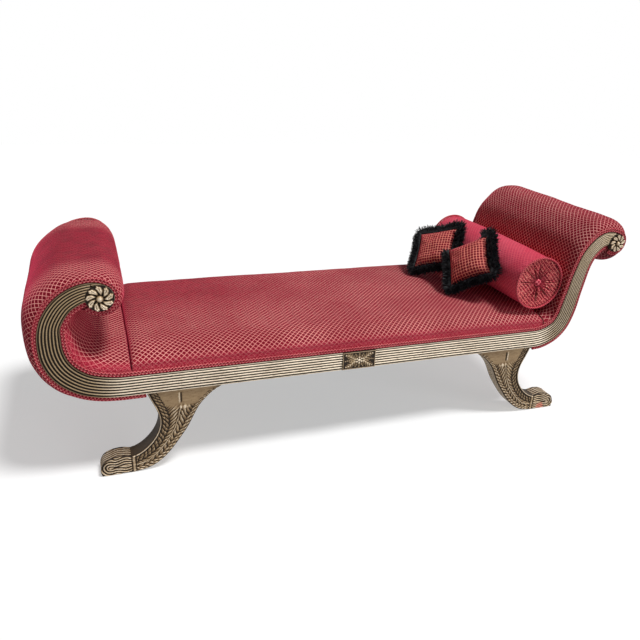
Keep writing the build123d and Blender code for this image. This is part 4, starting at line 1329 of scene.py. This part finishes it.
rings = []
turns = np.linspace(0, 2 * pi, 181)
for y in (BOLSTER_ENDS[0] - BOLSTER_CORD_OUT, BOLSTER_ENDS[1] + BOLSTER_CORD_OUT):
    rings.append(([(BOLSTER_X + BOLSTER_CORD_R * cos(a), y, BOLSTER_Z + BOLSTER_CORD_R * sin(a))
                   for a in turns], 0))
piping = mesh_object("bolster_cord", *cord_mesh(rings))
outward(piping, 80)
piping.data.materials.append(piping_cloth)
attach(piping, "bolster")
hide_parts("bolster_piping")

parts = []
for y, way in ((BOLSTER_ENDS[0] + BUTTON_IN, -1), (BOLSTER_ENDS[1] - BUTTON_IN, 1)):
    bpy.ops.object.select_all(action="DESELECT")
    bpy.ops.mesh.primitive_uv_sphere_add(segments=36, ring_count=18, radius=BUTTON_R,
                                         location=(BOLSTER_X, y + way * 0.002, BOLSTER_Z))
    button = bpy.context.object
    button.scale = (1, 0.55, 1)
    bpy.ops.object.transform_apply(location=True, rotation=True, scale=True)
    parts.append(button)
bpy.ops.object.select_all(action="DESELECT")
for button in parts:
    button.select_set(True)
bpy.context.view_layer.objects.active = parts[0]
bpy.ops.object.join()
buttons = parts[0]
buttons.name = "bolster_covered_buttons"
buttons.data.uv_layers[0].name = "cloth"
bpy.ops.object.shade_smooth()
spots = np.zeros(len(buttons.data.loops), dtype=int)
buttons.data.loops.foreach_get("vertex_index", spots)
points = np.array([v.co[:] for v in buttons.data.vertices])[spots]
buttons.data.uv_layers["cloth"].data.foreach_set("uv", points[:, [0, 2]].astype(float).ravel())
buttons.data.materials.append(bolster_cloth)
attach(buttons, "bolster")
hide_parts("bolster_buttons")

# ---------------------------------------------------------------------------
# Loose pillows: two small square pillows with pinched corners, in the lattice
# cloth cut straight, each edged all round with a thick black brush fringe.
# ---------------------------------------------------------------------------

PILLOW_SIDE = 0.172
FRINGE_REACH = 0.040
FRINGE_START = 0.006       # how far out of the seam the strands begin
STRANDS = 5600
ROOT_R = 0.0145            # the root band's half width and half thickness
ROOT_THICK = 0.0085

pillow_cloth = lattice_fabric("pillow_cloth", cell=0.0120, ground=(0.60, 0.027, 0.050),
                              ground_lit=(0.78, 0.058, 0.084), pale=(0.98, 0.54, 0.36),
                              dark=(0.022, 0.0004, 0.003))

brush, shader, make = new_material("black_brush")
place = make.node("ShaderNodeTexCoord", out=3)
tufts = make.node("ShaderNodeTexNoise", {}, {"Vector": place, "Scale": 220.0, "Detail": 2.0})
colour = tufts.step(0.42, 0.80).mix((0.0010, 0.0010, 0.0020), (0.0070, 0.0070, 0.0120))
colour.feed(shader, "Base Color")
shader.inputs["Roughness"].default_value = 0.45
shader.inputs["Specular IOR Level"].default_value = 0.22
bump = make.node("ShaderNodeBump", {}, {"Height": tufts, "Strength": 0.4, "Distance": 0.0008})
bump.feed(shader, "Normal")


def pillow_frame(centre, rise_way, face_way):
    """Centre, side, other side and normal of a leaning pillow."""
    normal = Vector(face_way).normalized()
    side = Vector(rise_way)
    side = (side - normal * side.dot(normal)).normalized()
    return Vector(centre) / 1000, side, normal.cross(side), normal


def seam_point(u, v, half):
    """Where the square's point u, v (from -1 to 1) lies, with sides drawn in between corners."""
    draw = 0.085
    return (half * u * (1 - draw * (1 - v * v) * abs(u)), half * v * (1 - draw * (1 - u * u) * abs(v)))


def pillow_cover(name, body, node, where, thick, seed):
    """Two swelled squares of cloth that meet all round in a thin seam."""
    centre, side, other, normal = where
    half = PILLOW_SIDE / 2
    count = 56
    verts, uvs = [], []
    spots = np.sin(np.linspace(-pi / 2, pi / 2, count))
    for way in (1, -1):
        layer = np.zeros((count, count, 3))
        for row, v in enumerate(spots):
            for column, u in enumerate(spots):
                a, b = seam_point(u, v, half)
                crown = (max(0.0, 1 - abs(u) ** 2.1) * max(0.0, 1 - abs(v) ** 2.1)) ** 0.46
                lift = way * (0.0012 + (thick / 2 - 0.002) * crown)
                edge = 1 - max(abs(u), abs(v))
                fold = ripple(u * 2.2, v * 2.2, seed) * 0.0045
                fold += ripple(u * 6, v * 6, seed + 7) * 0.0016
                lift += way * fold * min(1.0, edge * 4)
                layer[row, column] = (a, b, lift)
                verts.append(centre + side * a + other * b + normal * lift)
        across = np.zeros((count, count))
        across[:, 1:] = np.cumsum(np.linalg.norm(np.diff(layer, axis=1), axis=2), axis=1)
        across -= across[:, count // 2:count // 2 + 1]
        up = np.zeros((count, count))
        up[1:] = np.cumsum(np.linalg.norm(np.diff(layer, axis=0), axis=2), axis=0)
        up -= up[count // 2]
        uvs += [((a + b) * sqrt(0.5), (a - b) * sqrt(0.5)) for a, b in zip(across.ravel(), up.ravel())]
    faces = grid_faces(count, count)
    faces += shifted(faces, count * count)
    ring = grid_rim(count, count)
    for index, corner in enumerate(ring):
        after = ring[(index + 1) % len(ring)]
        faces.append((corner, after, after + count * count, corner + count * count))
    piece = mesh_object(name, verts, faces, uvs)
    outward(piece, 75)
    piece.data.materials.append(pillow_cloth)
    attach(piece, body)
    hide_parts(node)


def brush_fringe(name, body, node, where, seed, tuck):
    """A dense root band along the seam, and thousands of short strands that stand out of it.

    tuck says how far the upper side's fringe is bent back behind the pillow, 0 to 1.
    """
    centre, side, other, normal = where
    half = PILLOW_SIDE / 2 + 0.0008
    draws = np.random.default_rng(seed)
    steps = np.linspace(-1, 1, 41)[:-1]
    seam = ([(t, -1, 0, -1) for t in steps] + [(1, t, 1, 0) for t in steps]
            + [(-t, 1, 0, 1) for t in steps] + [(-1, -t, -1, 0) for t in steps])
    base, outs, tucks = [], [], []
    for u, v, du, dv in seam:
        a, b = seam_point(u, v, half)
        base.append((a, b))
        turn = max(0.0, (abs(u) - 0.86) / 0.14) if dv else max(0.0, (abs(v) - 0.86) / 0.14)
        out = Vector((du + (u * turn if dv else 0), dv + (v * turn if du else 0))).normalized()
        outs.append(out)
        tucks.append(tuck * ease(out.y, 0.3, 0.9) * (1 - ease(u, 0.55, 0.95)))
    verts, faces = [], []
    ring = 8
    for (a, b), out, tucked in zip(base, outs, tucks):
        lump = (1 + 0.14 * draws.standard_normal()) * (1 + 0.18 * max(0, out.x))
        for turn in range(ring):
            angle = 2 * pi * turn / ring
            reach = (ROOT_R + ROOT_R * cos(angle) * lump) * (1 - 0.65 * tucked)
            rise = ROOT_THICK * sin(angle) * lump - 0.009 * tucked
            verts.append(centre + side * (a + out.x * reach) + other * (b + out.y * reach) + normal * rise)
    total = len(base)
    for index in range(total):
        after = (index + 1) % total
        for turn in range(ring):
            turned = (turn + 1) % ring
            faces.append((index * ring + turn, index * ring + turned,
                          after * ring + turned, after * ring + turn))
    strand_faces = grid_faces(3, 3, closed=True) + [(6, 7, 8), (0, 2, 1)]
    for _ in range(STRANDS):
        spot = draws.uniform(0, total)
        index = int(spot) % total
        after = (index + 1) % total
        part = spot - int(spot)
        a = base[index][0] * (1 - part) + base[after][0] * part
        b = base[index][1] * (1 - part) + base[after][1] * part
        out = (outs[index] * (1 - part) + outs[after] * part).normalized()
        tucked = tucks[index]
        fan = draws.normal(0, 0.60) * (1 - 0.6 * tucked) - 1.7 * tucked
        sweep = draws.normal(0, 0.30)
        along = Vector((-out.y, out.x))
        way = ((side * (out.x + along.x * sweep) + other * (out.y + along.y * sweep)) * cos(fan)
               + normal * sin(fan))
        way.normalize()
        start = centre + side * (a + out.x * FRINGE_START) + other * (b + out.y * FRINGE_START)
        long = (FRINGE_REACH - FRINGE_START) * draws.uniform(0.82, 0.95) * (0.62 + 0.38 * cos(fan))
        long *= 1 + 0.15 * max(0, out.x)
        bend = Vector(draws.normal(0, 0.0042, 3))
        across = way.cross(Vector(draws.normal(0, 1, 3))).normalized()
        third = way.cross(across)
        first = len(verts)
        for t, wide in ((0, 0.0011), (0.55, 0.0013), (1, 0.0010)):
            middle = start + way * long * t + bend * t * t
            for angle in (0, 2.094, 4.189):
                verts.append(middle + (across * cos(angle) + third * sin(angle)) * wide)
        faces += shifted(strand_faces, first)
    piece = mesh_object(name, verts, faces)
    outward(piece, 80)
    piece.data.materials.append(brush)
    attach(piece, body)
    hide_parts(node)


FRONT_PILLOW = pillow_frame((562, -90, 568), (95, -111, 88), (-0.78, -0.20, 0.59))
REAR_PILLOW = pillow_frame((541, 146, 554), (87, -121, 53), (-0.71, -0.22, 0.67))
pillow_cover("front_pillow_cover", "front_pillow", "front_pillow", FRONT_PILLOW, thick=0.086, seed=1.0)
pillow_cover("rear_pillow_cover", "rear_pillow", "rear_pillow", REAR_PILLOW, thick=0.058, seed=3.0)
brush_fringe("front_pillow_brush", "front_pillow", "front_pillow_fringe", FRONT_PILLOW, seed=11, tuck=1.0)
brush_fringe("rear_pillow_brush", "rear_pillow", "rear_pillow_fringe", REAR_PILLOW, seed=12, tuck=0.25)
